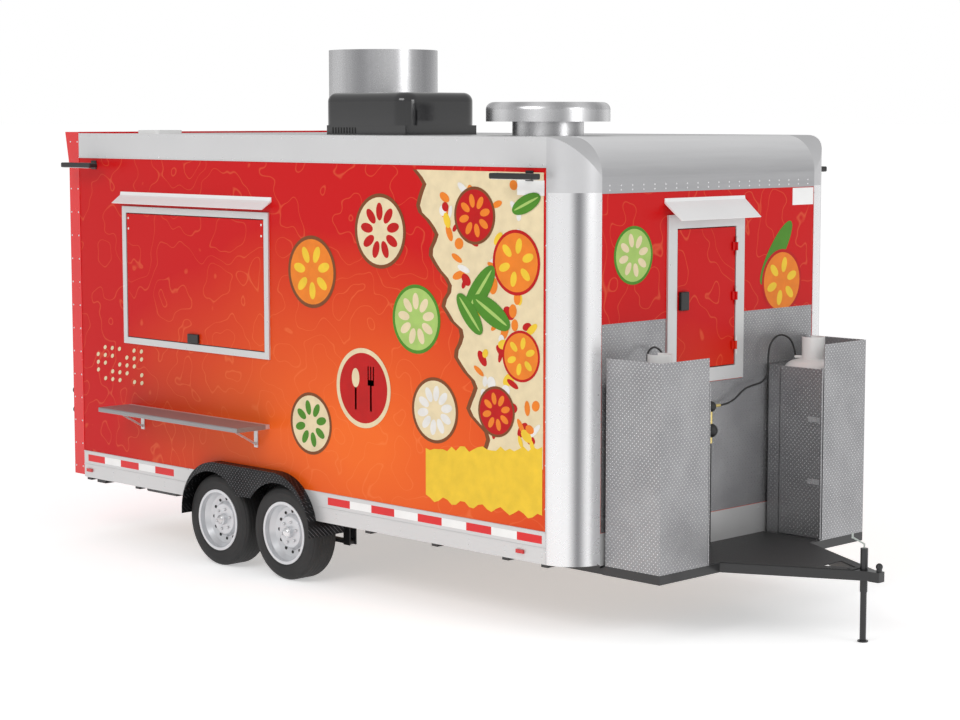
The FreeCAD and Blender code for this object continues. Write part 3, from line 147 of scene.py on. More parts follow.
def finish_of(name, color, rough, metal=0.0, mottle=0.12, scale=6.0, coat=0.0, stretch=None, grain=0.05):
    """An even finish with slight wear in its colour and sheen."""
    material, tree, shader, coords, _ = new_material(name)
    patch = noise(tree, coords, scale, 4.0, stretch)
    darker = tuple(channel * (1 - mottle) for channel in color)
    lighter = tuple(min(1.0, channel * (1 + mottle)) for channel in color)
    tree.links.new(mix(tree, patch, darker, lighter), shader.inputs["Base Color"])
    sheen = (noise(tree, coords, scale * 4, 3.0, stretch) - 0.5) * 0.25 * rough + rough
    tree.links.new(sheen.clamp().socket, shader.inputs["Roughness"])
    shader.inputs["Metallic"].default_value = metal
    shader.inputs["Coat Weight"].default_value = coat
    shader.inputs["Coat Roughness"].default_value = 0.08
    if grain:
        add_bump(tree, shader, noise(tree, coords, scale * 30, 2.0, stretch), grain, 0.0006)
    return material


def tread_plate(name, ground, painted_highlight, flat_axes):
    """Raised lozenges set across each other, with a painted highlight on the raised tops over a darker ground
    of painted shade; flat_axes gives the plane's two directions.
    """
    material, tree, shader, coords, axes = new_material(name)
    shift = (axes[0] + axes[1]) if flat_axes == "upright" else axes[0]
    rise = axes[2] if flat_axes == "upright" else axes[1] + axes[2]
    pitch = 0.030
    first = (shift + rise) / pitch
    second = (shift - rise) / pitch
    u = first.do("FRACT") - 0.5
    v = second.do("FRACT") - 0.5
    parity = (first.do("FLOOR") + second.do("FLOOR")).do("PINGPONG", 1.0)
    long_way = u.do("ABSOLUTE")
    wide_way = v.do("ABSOLUTE")
    one = 1.0 - (long_way / 0.42 + wide_way / 0.13)
    two = 1.0 - (long_way / 0.13 + wide_way / 0.42)
    lozenge = (one * parity + two * (1.0 - parity)) * 3.0
    raised = lozenge.clamp()
    # Painted highlight: raised lozenge tops are mixed toward the bright colour, the ground toward the darker
    # painted-shade colour.
    tone = (raised * 0.8 + noise(tree, coords, 5.0) * 0.25 - 0.08).clamp()
    tree.links.new(mix(tree, tone, ground, painted_highlight), shader.inputs["Base Color"])
    shader.inputs["Metallic"].default_value = 0.75
    tree.links.new((0.42 - raised * 0.2).socket, shader.inputs["Roughness"])
    add_bump(tree, shader, raised, 0.8, 0.0018)
    return material


def polished_cap():
    """Bright corner sheet with the soft upright bands of a polished curve painted in as a dark reflection
    band, and painted shade along the edge meeting the side wall.
    """
    material, tree, shader, coords, axes = new_material("polished_corner")
    forward = axes[0] - (SHIFT.x - 0.224)
    outward = (axes[1] - SHIFT.y).do("ABSOLUTE") - 0.996
    share = forward / (forward + outward + 0.0001)
    # Painted reflection: a dark upright band set by the share round the curve, plus painted shade along the
    # edge where the curve meets the side wall.
    dark_reflection = (1.0 - (share - 0.56).do("ABSOLUTE") / 0.15).clamp()
    dark_reflection = dark_reflection * dark_reflection * (3.0 - dark_reflection * 2.0)
    edge = (1.0 - share / 0.08).clamp() * 0.5
    grain = noise(tree, coords, 3.0, 2.0, (6, 6, 0.05)) * 0.16 - 0.08
    tone = (dark_reflection * 0.85 + edge + grain).clamp()
    tree.links.new(mix(tree, tone, (0.80, 0.80, 0.81), (0.16, 0.16, 0.17)), shader.inputs["Base Color"])
    shader.inputs["Metallic"].default_value = 0.7
    sheen = 0.24 + noise(tree, coords, 20.0) * 0.08
    tree.links.new(sheen.socket, shader.inputs["Roughness"])
    return material


def rolled_edge():
    """Front roof curve with painted shade: bright on top, falling to a mid grey towards the wall."""
    material, tree, shader, coords, axes = new_material("rolled_edge")
    # Painted shade: the colour darkens from the top of the curve down towards the wall.
    painted_shade_drop = ((2.86 - axes[2]) / 0.20).clamp()
    brushed = noise(tree, coords, 4.0, 3.0, (9, 0.4, 9)) * 0.16 - 0.08
    tone = (painted_shade_drop * 0.9 + brushed).clamp()
    tree.links.new(mix(tree, tone, (0.84, 0.84, 0.85), (0.36, 0.36, 0.37)), shader.inputs["Base Color"])
    shader.inputs["Metallic"].default_value = 0.6
    sheen = 0.28 + noise(tree, coords, 18.0) * 0.08
    tree.links.new(sheen.socket, shader.inputs["Roughness"])
    return material


def banded_round(name, centre, bright_reflection, dark_reflection, bands):
    """Spun sheet round an upright axis, with soft upright bands of painted reflection set by angle."""
    material, tree, shader, coords, axes = new_material(name)
    angle = (axes[1] - (centre[1] + SHIFT.y)).do("ARCTAN2", axes[0] - (centre[0] + SHIFT.x))
    # Painted reflection: bands by angle between the bright and dark reflection colours.
    reflection_bands = (angle * bands + 0.9).do("SINE") * 0.5 + 0.5
    brushed = noise(tree, coords, 4.0, 2.0, (6, 6, 0.05)) * 0.2 - 0.1
    tone = (reflection_bands * 0.8 + brushed).clamp()
    tree.links.new(mix(tree, tone, bright_reflection, dark_reflection), shader.inputs["Base Color"])
    shader.inputs["Metallic"].default_value = 0.85
    sheen = 0.22 + noise(tree, coords, 18.0) * 0.1
    tree.links.new(sheen.socket, shader.inputs["Roughness"])
    return material


def wrap_print():
    """Deep red into warm orange, with faint lighter contour lines."""
    material, tree, shader, coords, axes = new_material("wrap_print")
    across = (axes[0] - (SHIFT.x - 1.9)) / 2.4
    height = (axes[2] - 0.95) / 1.25
    away = (across * across + height * height).do("SQRT")
    glow = (1.08 - away + (noise(tree, coords, 0.8) - 0.5) * 0.35).clamp()
    ground = mix(tree, glow, (0.56, 0.0, 0.001), (0.86, 0.14, 0.010))
    contour = (noise(tree, coords, 2.2, 2.0) * 9.0).do("FRACT") - 0.5
    line = (1.0 - contour.do("ABSOLUTE") * 22.0).clamp()
    lined = mix(tree, line * 0.22, ground, (0.95, 0.30, 0.10))
    tree.links.new(lined, shader.inputs["Base Color"])
    sheen = 0.30 + noise(tree, coords, 12.0) * 0.08
    tree.links.new(sheen.socket, shader.inputs["Roughness"])
    shader.inputs["Specular IOR Level"].default_value = 0.2
    return material


def print_ink(name, color):
    material, tree, shader, coords, _ = new_material(name)
    patch = noise(tree, coords, 14.0, 4.0)
    darker = tuple(channel * 0.72 for channel in color)
    tree.links.new(mix(tree, patch, darker, color), shader.inputs["Base Color"])
    shader.inputs["Roughness"].default_value = 0.33
    shader.inputs["Specular IOR Level"].default_value = 0.2
    return material


def ribbed_tyre():
    material, tree, shader, coords, axes = new_material("tyre")
    dust = noise(tree, coords, 9.0, 4.0)
    tree.links.new(mix(tree, dust, (0.012, 0.012, 0.013), (0.032, 0.031, 0.030)), shader.inputs["Base Color"])
    shader.inputs["Roughness"].default_value = 0.72
    across = (axes[1] * 34.0).do("FRACT") - 0.5
    groove = (across.do("ABSOLUTE") * 9.0 - 0.6).clamp()
    add_bump(tree, shader, groove + dust * 0.2, 0.55, 0.004)
    return material


def mesh_deck():
    material, tree, shader, coords, axes = new_material("deck_mesh")
    weave = ((axes[0] + axes[1]) * 420.0).do("SINE") * ((axes[0] - axes[1]) * 420.0).do("SINE")
    tone = (weave * 0.5 + 0.5).clamp()
    tree.links.new(mix(tree, tone, (0.012, 0.012, 0.012), (0.075, 0.075, 0.075)), shader.inputs["Base Color"])
    shader.inputs["Roughness"].default_value = 0.5
    add_bump(tree, shader, tone, 0.6, 0.002)
    return material


finishes = {
    "frame_black": finish_of("frame_black", (0.014, 0.014, 0.015), 0.34, 0.0, 0.3, 9.0, 0.2),
    "deck_mesh": mesh_deck(),
    "jack_grey": finish_of("jack_grey", (0.42, 0.46, 0.43), 0.4),
    "tyre": ribbed_tyre(),
    "wheel_white": finish_of("wheel_white", (0.66, 0.67, 0.69), 0.3, 0.35, 0.08, 9.0, 0.2),
    "floor_ply": finish_of("floor_ply", (0.30, 0.20, 0.12), 0.6, stretch=(1, 9, 1)),
    "wrap_panel": wrap_print(),
    "roof_sheet": finish_of("roof_sheet", (0.66, 0.66, 0.665), 0.36, 0.5, 0.06, 2.0),
    "rear_red": finish_of("rear_red", (0.72, 0.002, 0.004), 0.26, 0.0, 0.08, 4.0, 0.3),
    # polished_corner has a painted dark reflection band and a painted shaded edge.
    "polished_corner": polished_cap(),
    "cast_corner": finish_of("cast_corner", (0.58, 0.58, 0.59), 0.42, 0.55, 0.08, 5.0),
    "trim_aluminium": finish_of("trim_aluminium", (0.64, 0.64, 0.64), 0.38, 0.4, 0.06, 3.0),
    "drip_white": finish_of("drip_white", (0.83, 0.83, 0.83), 0.35, 0.0, 0.05, 3.0),
    "strut_black": finish_of("strut_black", (0.012, 0.012, 0.012), 0.3),
    "strut_rod_chrome": finish_of("strut_rod_chrome", (0.72, 0.72, 0.72), 0.12, 1.0),
    # tread_plate: painted highlight on the raised lozenges over a darker painted-shade ground.
    "tread_plate": tread_plate("tread_plate", (0.30, 0.30, 0.31), (0.93, 0.93, 0.94), "upright"),
    "bottle_white": finish_of("bottle_white", (0.88, 0.88, 0.87), 0.32, 0.0, 0.04, 5.0, 0.2),
    "regulator_black": finish_of("regulator_black", (0.016, 0.016, 0.016), 0.45),
    "brass": finish_of("brass", (0.78, 0.62, 0.24), 0.28, 0.9),
    "pipe_black": finish_of("pipe_black", (0.016, 0.016, 0.016), 0.4),
    "hose_black": finish_of("hose_black", (0.012, 0.012, 0.012), 0.42),
    "cooler_black": finish_of("cooler_black", (0.009, 0.009, 0.010), 0.12, 0.0, 0.2, 3.0, 0.8, grain=0.0),
    # exhaust_steel and vent_chrome carry painted reflection bands round their upright axes.
    "exhaust_steel": banded_round(
        "exhaust_steel", EXHAUST_CENTRE, (0.66, 0.66, 0.67), (0.24, 0.24, 0.25), 5.0
    ),
    "vent_chrome": banded_round(
        "vent_chrome", RELIEF_CENTRE, (0.80, 0.80, 0.81), (0.38, 0.38, 0.39), 9.0
    ),
    "lamp_body": finish_of("lamp_body", (0.012, 0.012, 0.013), 0.35),
}
inks = {
    "ink_red": print_ink("ink_red", (0.55, 0.004, 0.004)),
    "ink_cream": print_ink("ink_cream", (0.86, 0.72, 0.46)),
    "ink_green": print_ink("ink_green", (0.08, 0.27, 0.02)),
    "ink_pale_green": print_ink("ink_pale_green", (0.42, 0.62, 0.16)),
    "ink_yellow": print_ink("ink_yellow", (0.93, 0.62, 0.04)),
    "ink_orange": print_ink("ink_orange", (0.90, 0.24, 0.02)),
    "ink_white": print_ink("ink_white", (0.86, 0.84, 0.80)),
    "ink_brown": print_ink("ink_brown", (0.22, 0.07, 0.02)),
}
tape_red = finish_of("tape_red", (0.70, 0.004, 0.006), 0.3)
tape_white = finish_of("tape_white", (0.85, 0.85, 0.84), 0.3)
rivet_metal = finish_of("rivet_metal", (0.70, 0.70, 0.71), 0.28, 0.8)
# dark_gap is black: the window seal's own colour, and painted shade in the wheel vent holes and cooler grille
# slots.
dark_gap = finish_of("dark_gap", (0.01, 0.01, 0.01), 0.6)
lens_red = finish_of("lens_red", (0.60, 0.0, 0.0), 0.18, coat=0.5)
lens_clear = finish_of("lens_clear", (0.86, 0.88, 0.90), 0.12, coat=0.5)
# The fender plate has the same painted highlight on its raised lozenges.
fender_plate = tread_plate("fender_plate", (0.010, 0.010, 0.011), (0.20, 0.20, 0.21), "flat")

slot_of = {entry["node"]: entry["material_slot"] for entry in frame["record"]["subparts"]}
special = {
    "fenders": fender_plate,
    # The front roof curve gets the rolled_edge finish with its painted shade.
    "front_top_radius": rolled_edge(),
    "window_latch": finishes["strut_black"],
    "hatch_latch": finishes["strut_black"],
    "rear_door_handle": finishes["strut_black"],
    "jack_tube": finishes["frame_black"],
    "jack_leg": finishes["frame_black"],
    "shelf": finish_of("shelf_grey", (0.30, 0.30, 0.305), 0.4, 0.4, 0.08, 5.0),
}
for node, obj in frame["nodes"].items():
    obj.data.materials.clear()
    obj.data.materials.append(special.get(node, finishes[slot_of[node]]))


def add_mesh(name, body, material, vertices, faces, smooth=False):
    mesh = bpy.data.meshes.new(name)
    mesh.from_pydata([tuple(Vector(v) + SHIFT) for v in vertices], [], faces)
    mesh.update()
    obj = bpy.data.objects.new(name, mesh)
    bpy.context.scene.collection.objects.link(obj)
    mesh.materials.append(material)
    if smooth:
        for polygon in mesh.polygons:
            polygon.use_smooth = True
    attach(obj, body)
    return obj


class Patchwork:
    """Flat printed shapes gathered by ink on one skin; u runs along the skin and v is height."""

    def __init__(self, name, body, place):
        self.name = name
        self.body = body
        self.place = place
        self.shapes = {}
        self.layer = 0

    def shape(self, ink, points):
        vertices, faces = self.shapes.setdefault(ink, ([], []))
        start = len(vertices)
        vertices.extend(self.place(u, v, 0.00025 * self.layer) for u, v in points)
        faces.append(tuple(range(start, start + len(points))))

    def ellipse(self, ink, u, v, a, b, turn=0.0, count=40):
        self.layer += 1
        points = []
        for index in range(count):
            angle = 2 * math.pi * index / count
            du = a * math.cos(angle)
            dv = b * math.sin(angle)
            points.append((u + du * math.cos(turn) - dv * math.sin(turn),
                           v + du * math.sin(turn) + dv * math.cos(turn)))
        self.shape(ink, points)
        self.layer -= 1

    def slice(self, u, v, radius, rind, flesh, seed_ink, seeds):
        """A cut vegetable: rind, flesh and a ring of seed pockets."""
        base = self.layer
        self.ellipse(rind, u, v, radius, radius)
        self.layer = base + 1
        self.ellipse(flesh, u, v, radius * 0.9, radius * 0.9)
        self.layer = base + 2
        for index in range(seeds):
            angle = 2 * math.pi * (index + 0.3) / seeds
            self.ellipse(seed_ink, u + 0.52 * radius * math.cos(angle), v + 0.52 * radius * math.sin(angle),
                         radius * 0.24, radius * 0.13, angle, 16)
        self.layer = base

    def build(self):
        for ink, (vertices, faces) in self.shapes.items():
            add_mesh(f"{self.name}_{ink}", self.body, inks[ink], vertices, faces)


def print_side(name, skin, outward):
    art = Patchwork(name, "trailer", lambda u, v, lift: (u, skin + outward * (0.0003 + lift), v))
    art.layer = 0
    edge = []
    count = 40
    for index in range(count + 1):
        v = 2.68 - 1.70 * index / count
        edge.append((-1.30 + 0.62 * index / count + 0.05 * math.sin(index * 0.9) + 0.02 * random.random(), v))
    for (u0, v0), (u1, v1) in zip(edge, edge[1:]):
        art.layer = 0
        art.shape("ink_brown", [(u0 - 0.035, v0), (u1 - 0.035, v1), (-0.245, v1), (-0.245, v0)])
        art.layer = 1
        art.shape("ink_cream", [(u0, v0), (u1, v1), (-0.245, v1), (-0.245, v0)])
    for index in range(80):
        v = 1.10 + 1.52 * random.random()
        left = -1.26 + 0.62 * (2.68 - v) / 1.70 + 0.06
        u = left + (-0.30 - left) * random.random()
        art.layer = 2 + index / 20
        ink = random.choice(("ink_orange", "ink_white", "ink_yellow", "ink_orange", "ink_red"))
        long_half = 0.025 + 0.03 * random.random()
        short_half = 0.015 + 0.02 * random.random()
        art.ellipse(ink, u, v, long_half, short_half, random.random() * 3, 14)
    art.layer = 7
    art.slice(-0.80, 2.42, 0.17, "ink_brown", "ink_red", "ink_orange", 8)
    art.slice(-0.46, 2.16, 0.19, "ink_red", "ink_orange", "ink_yellow", 6)
    art.slice(-0.62, 1.28, 0.15, "ink_brown", "ink_red", "ink_orange", 8)
    art.slice(-0.42, 1.62, 0.15, "ink_red", "ink_orange", "ink_yellow", 6)
    leaves = ((-0.76, 1.98, 0.19, 0.07, 0.9), (-0.66, 1.86, 0.17, 0.07, -0.5),
              (-0.84, 1.84, 0.15, 0.06, 2.3), (-0.38, 2.50, 0.12, 0.05, 0.4))
    for index, (u, v, a, b, turn) in enumerate(leaves):
        art.layer = 11 + 2 * index
        art.ellipse("ink_green", u, v, a, b, turn)
        art.layer = 12 + 2 * index
        art.ellipse("ink_pale_green", u, v, a * 0.86, b * 0.16, turn)
    art.layer = 2
    art.slice(-1.62, 2.30, 0.23, "ink_brown", "ink_cream", "ink_red", 9)
    art.slice(-2.26, 2.02, 0.23, "ink_brown", "ink_orange", "ink_yellow", 7)
    art.slice(-1.30, 1.78, 0.21, "ink_green", "ink_pale_green", "ink_cream", 9)
    art.slice(-1.14, 1.24, 0.20, "ink_brown", "ink_cream", "ink_white", 10)
    art.slice(-2.28, 1.05, 0.20, "ink_brown", "ink_cream", "ink_green", 8)
    art.layer = 3
    art.ellipse("ink_cream", -1.78, 1.32, 0.25, 0.25, 0, 56)
    art.layer = 4
    art.ellipse("ink_red", -1.78, 1.32, 0.22, 0.22, 0, 56)
    art.layer = 5
    art.ellipse("ink_cream", -1.85, 1.38, 0.035, 0.06)
    art.shape("ink_cream", [(-1.858, 1.35), (-1.858, 1.18), (-1.842, 1.18), (-1.842, 1.35)])
    for offset in (-0.024, 0.0, 0.024):
        left = -1.71 + offset - 0.005
        art.shape("ink_cream", [(left, 1.37), (left + 0.010, 1.37), (left + 0.010, 1.46), (left, 1.46)])
    art.shape("ink_cream", [(-1.739, 1.34), (-1.681, 1.34), (-1.681, 1.375), (-1.739, 1.375)])
    art.shape("ink_cream", [(-1.718, 1.18), (-1.702, 1.18), (-1.702, 1.345), (-1.718, 1.345)])
    art.layer = 2
    top = []
    steps = 26
    for index in range(steps + 1):
        u = -1.22 + index * 0.97 / steps
        top.append((u, 0.98 + 0.035 * random.random() + 0.10 * index / steps))
    for (u0, v0), (u1, v1) in zip(top, top[1:]):
        art.shape("ink_yellow", [(u0, 0.70 + 0.02 * math.sin(u0 * 40)), (u1, 0.70 + 0.02 * math.sin(u1 * 40)),
                                 (u1, v1), (u0, v0)])
    art.layer = 3
    for row in range(5):
        for column in range(7):
            if (row * 3 + column * 5) % 4:
                u = -4.58 + column * 0.085
                v = 1.16 + row * 0.055
                art.ellipse("ink_cream", u, v, 0.020, 0.014, 0.5, 10)
    art.build()


print_side("side_print_right", RIGHT_SKIN, -1)
print_side("side_print_left", LEFT_SKIN, 1)

window_art = Patchwork(
    "window_print", "serving_window", lambda u, v, lift: (u, WINDOW_SKIN - lift - 0.0003, v)
)
for u in (-4.185, -2.748):
    for v in (2.228, 2.300):
        window_art.ellipse("ink_white", u, v, 0.008, 0.008, 0, 12)
window_art.build()

front_art = Patchwork("front_print", "trailer", lambda u, v, lift: (-0.003 + 0.0005 + lift, u, v))
front_art.layer = 0
front_art.ellipse("ink_green", 0.62, 2.16, 0.24, 0.07, 0.9)
front_art.layer = 1
front_art.slice(0.68, 1.98, 0.20, "ink_red", "ink_orange", "ink_yellow", 6)
front_art.slice(-0.72, 2.20, 0.17, "ink_green", "ink_pale_green", "ink_cream", 8)
front_art.build()


def boxes(name, body, material, limits):
    vertices = []
    faces = []
    for (x0, x1), (y0, y1), (z0, z1) in limits:
        start = len(vertices)
        vertices += [(x, y, z) for x in (x0, x1) for y in (y0, y1) for z in (z0, z1)]
        faces += [tuple(start + i for i in face) for face in
                  ((0, 1, 3, 2), (4, 6, 7, 5), (0, 4, 5, 1), (2, 3, 7, 6), (0, 2, 6, 4), (1, 5, 7, 3))]
    return add_mesh(name, body, material, vertices, faces)


def domes(name, body, material, places, radius, height):
    """Round heads on a skin; each place is a point and the skin's outward direction."""
    vertices = []
    faces = []
    count = 10
    for point, normal in places:
        normal = Vector(normal).normalized()
        side = normal.orthogonal().normalized()
        up = normal.cross(side)
        start = len(vertices)
        for share, rise in ((1.0, 0.0), (0.86, 0.55), (0.5, 0.9)):
            for index in range(count):
                angle = 2 * math.pi * index / count
                spoke = side * math.cos(angle) + up * math.sin(angle)
                vertices.append(Vector(point) + spoke * radius * share + normal * height * rise)
        vertices.append(Vector(point) + normal * height)
        for ring in range(2):
            for index in range(count):
                after = (index + 1) % count
                a = start + ring * count
                faces.append((a + index, a + after, a + count + after, a + count + index))
        for index in range(count):
            a = start + 2 * count
            faces.append((a + index, a + (index + 1) % count, a + count))
    return add_mesh(name, body, material, vertices, faces, True)


def steps(start, end, pitch):
    count = max(1, round(abs(end - start) / pitch))
    return [start + (end - start) * index / count for index in range(count + 1)]


# ---- Rivets ---------------------------------------------------------------
heads = []
for side in (-1, 1):
    outward = (0, side, 0)
    for x in steps(-4.74, -0.25, 0.10):
        heads.append(((x, side * 1.22, 2.722), outward))
        heads.append(((x, side * 1.2203, 2.862), outward))
    for x in steps(-4.72, -0.25, 0.30):
        if abs(x + 2.887) > 0.70:
            for z in (0.462, 0.490):
                heads.append(((x, side * 1.22, z), outward))
    for z in steps(0.50, 2.82, 0.16):
        for x in (-4.868, -4.786):
            heads.append(((x, side * 1.22, z), outward))
    for z in steps(0.50, 2.52, 0.25):
        heads.append(((-0.222, side * 1.22, z), outward))
        heads.append(((0.0, side * 1.000, z), (1, 0, 0)))
for y in steps(-0.93, 0.93, 0.10):
    for z in (2.580, 2.606):
        heads.append(((0.0, y, z), (1, 0, 0)))
for y in steps(-0.95, 0.95, 0.47):
    for z in (0.45, 0.58):
        heads.append(((0.0, y, z), (1, 0, 0)))
for x in steps(-4.245, -2.688, 0.17):
    for z in (1.439, 2.371):
        heads.append(((x, -1.229, z), (0, -1, 0)))
for z in steps(1.52, 2.29, 0.17):
    for x in (-4.244, -2.689):
        heads.append(((x, -1.229, z), (0, -1, 0)))
for y in steps(-0.405, 0.274, 0.17):
    for z in (1.431, 2.404):
        heads.append(((0.009, y, z), (1, 0, 0)))
for z in steps(1.52, 2.33, 0.19):
    for y in (-0.405, 0.274):
        heads.append(((0.009, y, z), (1, 0, 0)))
plate = []
for y_span, z_span in (((-0.990, -0.427), (0.612, 1.815)), ((0.296, 0.990), (0.612, 1.815)),
                       ((-0.427, 0.296), (0.612, 1.408))):
    plate.append(((-0.0030, -0.0016), y_span, z_span))
# The front tread plate carries the painted highlight on its raised lozenges.
boxes("front_tread_plate", "trailer", finishes["tread_plate"], plate)
domes("rivets", "trailer", rivet_metal, heads, 0.0062, 0.0022)

fender_heads = []
for side in (-1, 1):
    for x in steps(-3.16, -2.61, 0.11):
        fender_heads.append(((x, side * 1.29, 0.690), (0, side, 0)))
domes("fender_bolts", "trailer", finishes["frame_black"], fender_heads, 0.007, 0.003)

# ---- Tape on the skirts, trim lines, markers ------------------------------
red_runs = ((-4.72, -4.52), (-4.33, -4.12), (-3.93, -3.72), (-2.12, -1.91), (-1.71, -1.50),
            (-1.29, -1.08), (-0.87, -0.66), (-0.45, -0.25))
red_limits = []
white_limits = []
for side in (-1, 1):
    y = sorted((side * 1.2201, side * 1.2206))
    for start, end in red_runs:
        red_limits.append(((start, end), y, (0.545, 0.593)))
    for (_, start), (end, _) in zip(red_runs, red_runs[1:]):
        if end - start < 0.6:
            white_limits.append(((start, end), y, (0.545, 0.593)))
boxes("tape_red", "trailer", tape_red, red_limits)
boxes("tape_white", "trailer", tape_white, white_limits)

trim = []
for side in (-1, 1):
    for start, end in ((-4.768, -3.555), (-2.220, -0.224)):
        y = sorted((side * 1.220, side * 1.2235))
        trim.append(((start, end), y, (0.610, 0.6165)))
        trim.append(((start, end), y, (0.520, 0.5235)))
    trim.append(((-4.768, -0.224), sorted((side * 1.220, side * 1.2230)), (2.707, 2.713)))
boxes("trim_lines", "trailer", finishes["trim_aluminium"], trim)

lens_limits = []
for side in (-1, 1):
    for x in (-4.70, -0.42):
        lens_limits.append(((x - 0.03, x + 0.03), sorted((side * 1.2205, side * 1.232)), (0.470, 0.492)))
boxes("side_markers", "trailer", lens_red, lens_limits)
boxes("lamp_lenses", "trailer", lens_clear,
      [((x - 0.155, x + 0.155), sorted((side * 1.316, side * 1.374)), (2.6415, 2.6440))
       for side in (-1, 1) for x in (-4.590, -0.355)])
domes("tail_lenses", "trailer", lens_red,
      [((-4.908, side * 1.1885, z), (-1, 0, 0)) for side in (-1, 1) for z in (0.90, 1.04)], 0.0245, 0.006)
boxes("blank_labels", "trailer", tape_white,
      [((-0.454, -0.240), (-1.2188, -1.2176), (2.549, 2.635)),
       ((-0.0028, -0.0016), (0.778, 0.990), (2.449, 2.555))])
boxes("blank_plate", "trailer", finishes["drip_white"],
      [((-4.8905, -4.8893), (-0.850, -0.550), (0.875, 1.025))])

# ---- Window seal ----------------------------------------------------------
seal = []
for (u0, u1), (v0, v1) in (((-4.211, -2.722), (1.473, 2.337)),):
    seal.append(((u0 + 0.0004, u0 + 0.0055), (-1.2225, -1.205), (v0, v1)))
    seal.append(((u1 - 0.0055, u1 - 0.0004), (-1.2225, -1.205), (v0, v1)))
    seal.append(((u0 + 0.006, u1 - 0.006), (-1.2225, -1.205), (v0 + 0.0004, v0 + 0.0055)))
boxes("window_seal", "trailer", dark_gap, seal)

# ---- Wheels: lug nuts, vents, hub caps ------------------------------------
for end, x in zip(("front", "rear"), WHEEL_X):
    for word, side in (("right", -1), ("left", 1)):
        nuts = []
        vents = []
        for index in range(6):
            angle = math.radians(60 * index + 15)
            face = side * (WHEEL_Y + 0.0492)
            around = (x + LUG_CIRCLE * math.cos(angle), face, WHEEL_Z + LUG_CIRCLE * math.sin(angle))
            nuts.append((around, (0, side, 0)))
        for index in range(12):
            angle = math.radians(30 * index)
            face = side * (WHEEL_Y + 0.0235)
            around = (x + VENT_CIRCLE * math.cos(angle), face, WHEEL_Z + VENT_CIRCLE * math.sin(angle))
            vents.append((around, (0, side, 0)))
        body = f"wheel_{end}_{word}"
        domes(f"lug_nuts_{end}_{word}", body, rivet_metal, nuts, 0.0105, 0.016)
        # The vent holes are flat dark discs: painted shade in the openings.
        domes(f"wheel_vents_{end}_{word}", body, dark_gap, vents, 0.0115, 0.0012)
        # Hub caps use vent_chrome, with its painted reflection bands.
        cap = ((x, side * (WHEEL_Y + 0.0792), WHEEL_Z), (0, side, 0))
        domes(f"hub_cap_{end}_{word}", body, finishes["vent_chrome"], [cap], 0.031, 0.012)

# ---- Air conditioner grille, strap marks ----------------------------------
# The grille slots are thin dark strips: painted shade in the openings.
boxes("cooler_grille", "trailer", dark_gap,
      [((-2.90 + 0.028 * i, -2.886 + 0.028 * i), (-0.4768, -0.4758), (2.885, 2.925)) for i in range(9)])
for word, side in (("right", -1), ("left", 1)):
    near = side * 0.5345
    boxes(f"door_straps_{word}", f"gas_door_{word}", rivet_metal,
          [((0.325, 0.410), sorted((near - side * 0.0025, near + side * 0.0003)), (z - 0.016, z + 0.016))
           for z in (0.778, 1.161)])

# ---- Gas hoses ------------------------------------------------------------
hose_routes = {
    "left": ((104, 690, 1525), (84, 697, 1592), (62, 668, 1640), (50, 590, 1660), (45, 510, 1612),
             (43, 492, 1520), (44, 502, 1425), (45, 440, 1370), (45, 345, 1362), (45, 255, 1345),
             (45, 180, 1296), (45, 100, 1268), (45, 25, 1266)),
    "right": ((104, -690, 1525), (84, -697, 1594), (64, -662, 1648), (50, -584, 1670), (45, -506, 1622),
              (43, -490, 1530), (44, -504, 1440), (45, -455, 1376), (45, -378, 1354), (45, -300, 1322),
              (45, -222, 1270), (45, -145, 1266)),
}
for word, length in (("left", 0.990), ("right", 0.891)):
    curve = bpy.data.curves.new(f"hose_{word}", "CURVE")
    curve.dimensions = "3D"
    curve.bevel_depth = 0.006
    curve.bevel_resolution = 4
    curve.resolution_u = 12
    spline = curve.splines.new("NURBS")
    route = [Vector(point) / 1000 + SHIFT for point in hose_routes[word]]
    spline.points.add(len(route) - 1)
    for point, place in zip(spline.points, route):
        point.co = (*place, 1.0)
    spline.order_u = 3
    spline.use_endpoint_u = True
    hose = bpy.data.objects.new(f"hose_{word}", curve)
    bpy.context.scene.collection.objects.link(hose)
    curve.materials.append(finishes["hose_black"])
    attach(hose, "trailer")
    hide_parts(f"gas_hose_{word}")

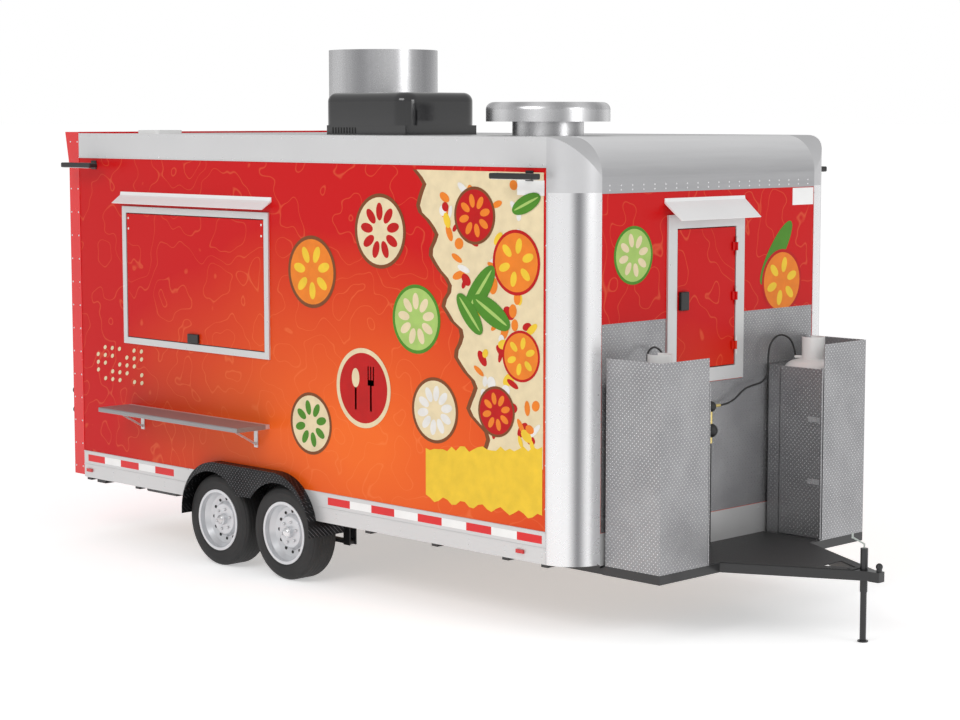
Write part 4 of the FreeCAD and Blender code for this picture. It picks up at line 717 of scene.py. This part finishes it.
# ---- Studio ---------------------------------------------------------------
scene = bpy.context.scene
scene.view_settings.view_transform = "Standard"
world = bpy.data.worlds.new("studio")
scene.world = world
world.use_nodes = True
background = world.node_tree.nodes["Background"]
background.inputs["Color"].default_value = (1.0, 1.0, 1.0, 1.0)
background.inputs["Strength"].default_value = 0.62
backdrop = world.node_tree.nodes.new("ShaderNodeBackground")
backdrop.inputs["Color"].default_value = (1.0, 1.0, 1.0, 1.0)
backdrop.inputs["Strength"].default_value = 1.0
path = world.node_tree.nodes.new("ShaderNodeLightPath")
blend = world.node_tree.nodes.new("ShaderNodeMixShader")
links = world.node_tree.links
links.new(path.outputs["Is Camera Ray"], blend.inputs[0])
links.new(background.outputs[0], blend.inputs[1])
links.new(backdrop.outputs[0], blend.inputs[2])
links.new(blend.outputs[0], world.node_tree.nodes["World Output"].inputs["Surface"])

bpy.ops.mesh.primitive_plane_add(size=1600, location=(0, 0, -0.001))
floor = bpy.context.object
floor.name = "studio_floor"
floor_look = bpy.data.materials.new("studio_floor")
floor_look.use_nodes = True
floor_look.node_tree.nodes["Principled BSDF"].inputs["Base Color"].default_value = (0.93, 0.93, 0.93, 1)
floor_look.node_tree.nodes["Principled BSDF"].inputs["Roughness"].default_value = 0.9
floor_look.node_tree.nodes["Principled BSDF"].inputs["Emission Color"].default_value = (1, 1, 1, 1)
floor_look.node_tree.nodes["Principled BSDF"].inputs["Emission Strength"].default_value = 0.44
floor.data.materials.append(floor_look)


def area_light(name, place, target, size, power):
    data = bpy.data.lights.new(name, "AREA")
    data.shape = "RECTANGLE"
    data.size = size[0]
    data.size_y = size[1]
    data.energy = power
    lamp = bpy.data.objects.new(name, data)
    scene.collection.objects.link(lamp)
    lamp.location = place
    lamp.rotation_euler = (Vector(target) - Vector(place)).to_track_quat("-Z", "Y").to_euler()


area_light("key", (2.0, -9.0, 7.5), (0, 0, 1.4), (6, 4), 260)
area_light("front_fill", (11.0, 1.0, 5.0), (1.5, 0, 1.4), (4, 4), 150)

camera_data = bpy.data.cameras.new("camera")
camera_data.lens = 84.18
camera_data.sensor_width = 36.0
camera_data.clip_end = 2000.0
camera = bpy.data.objects.new("camera", camera_data)
scene.collection.objects.link(camera)
camera.location = Vector((8.515, -10.489, 2.989)) + SHIFT
camera.rotation_euler = (math.radians(90 - 6.160), 0.0, math.radians(45.0))
scene.camera = camera
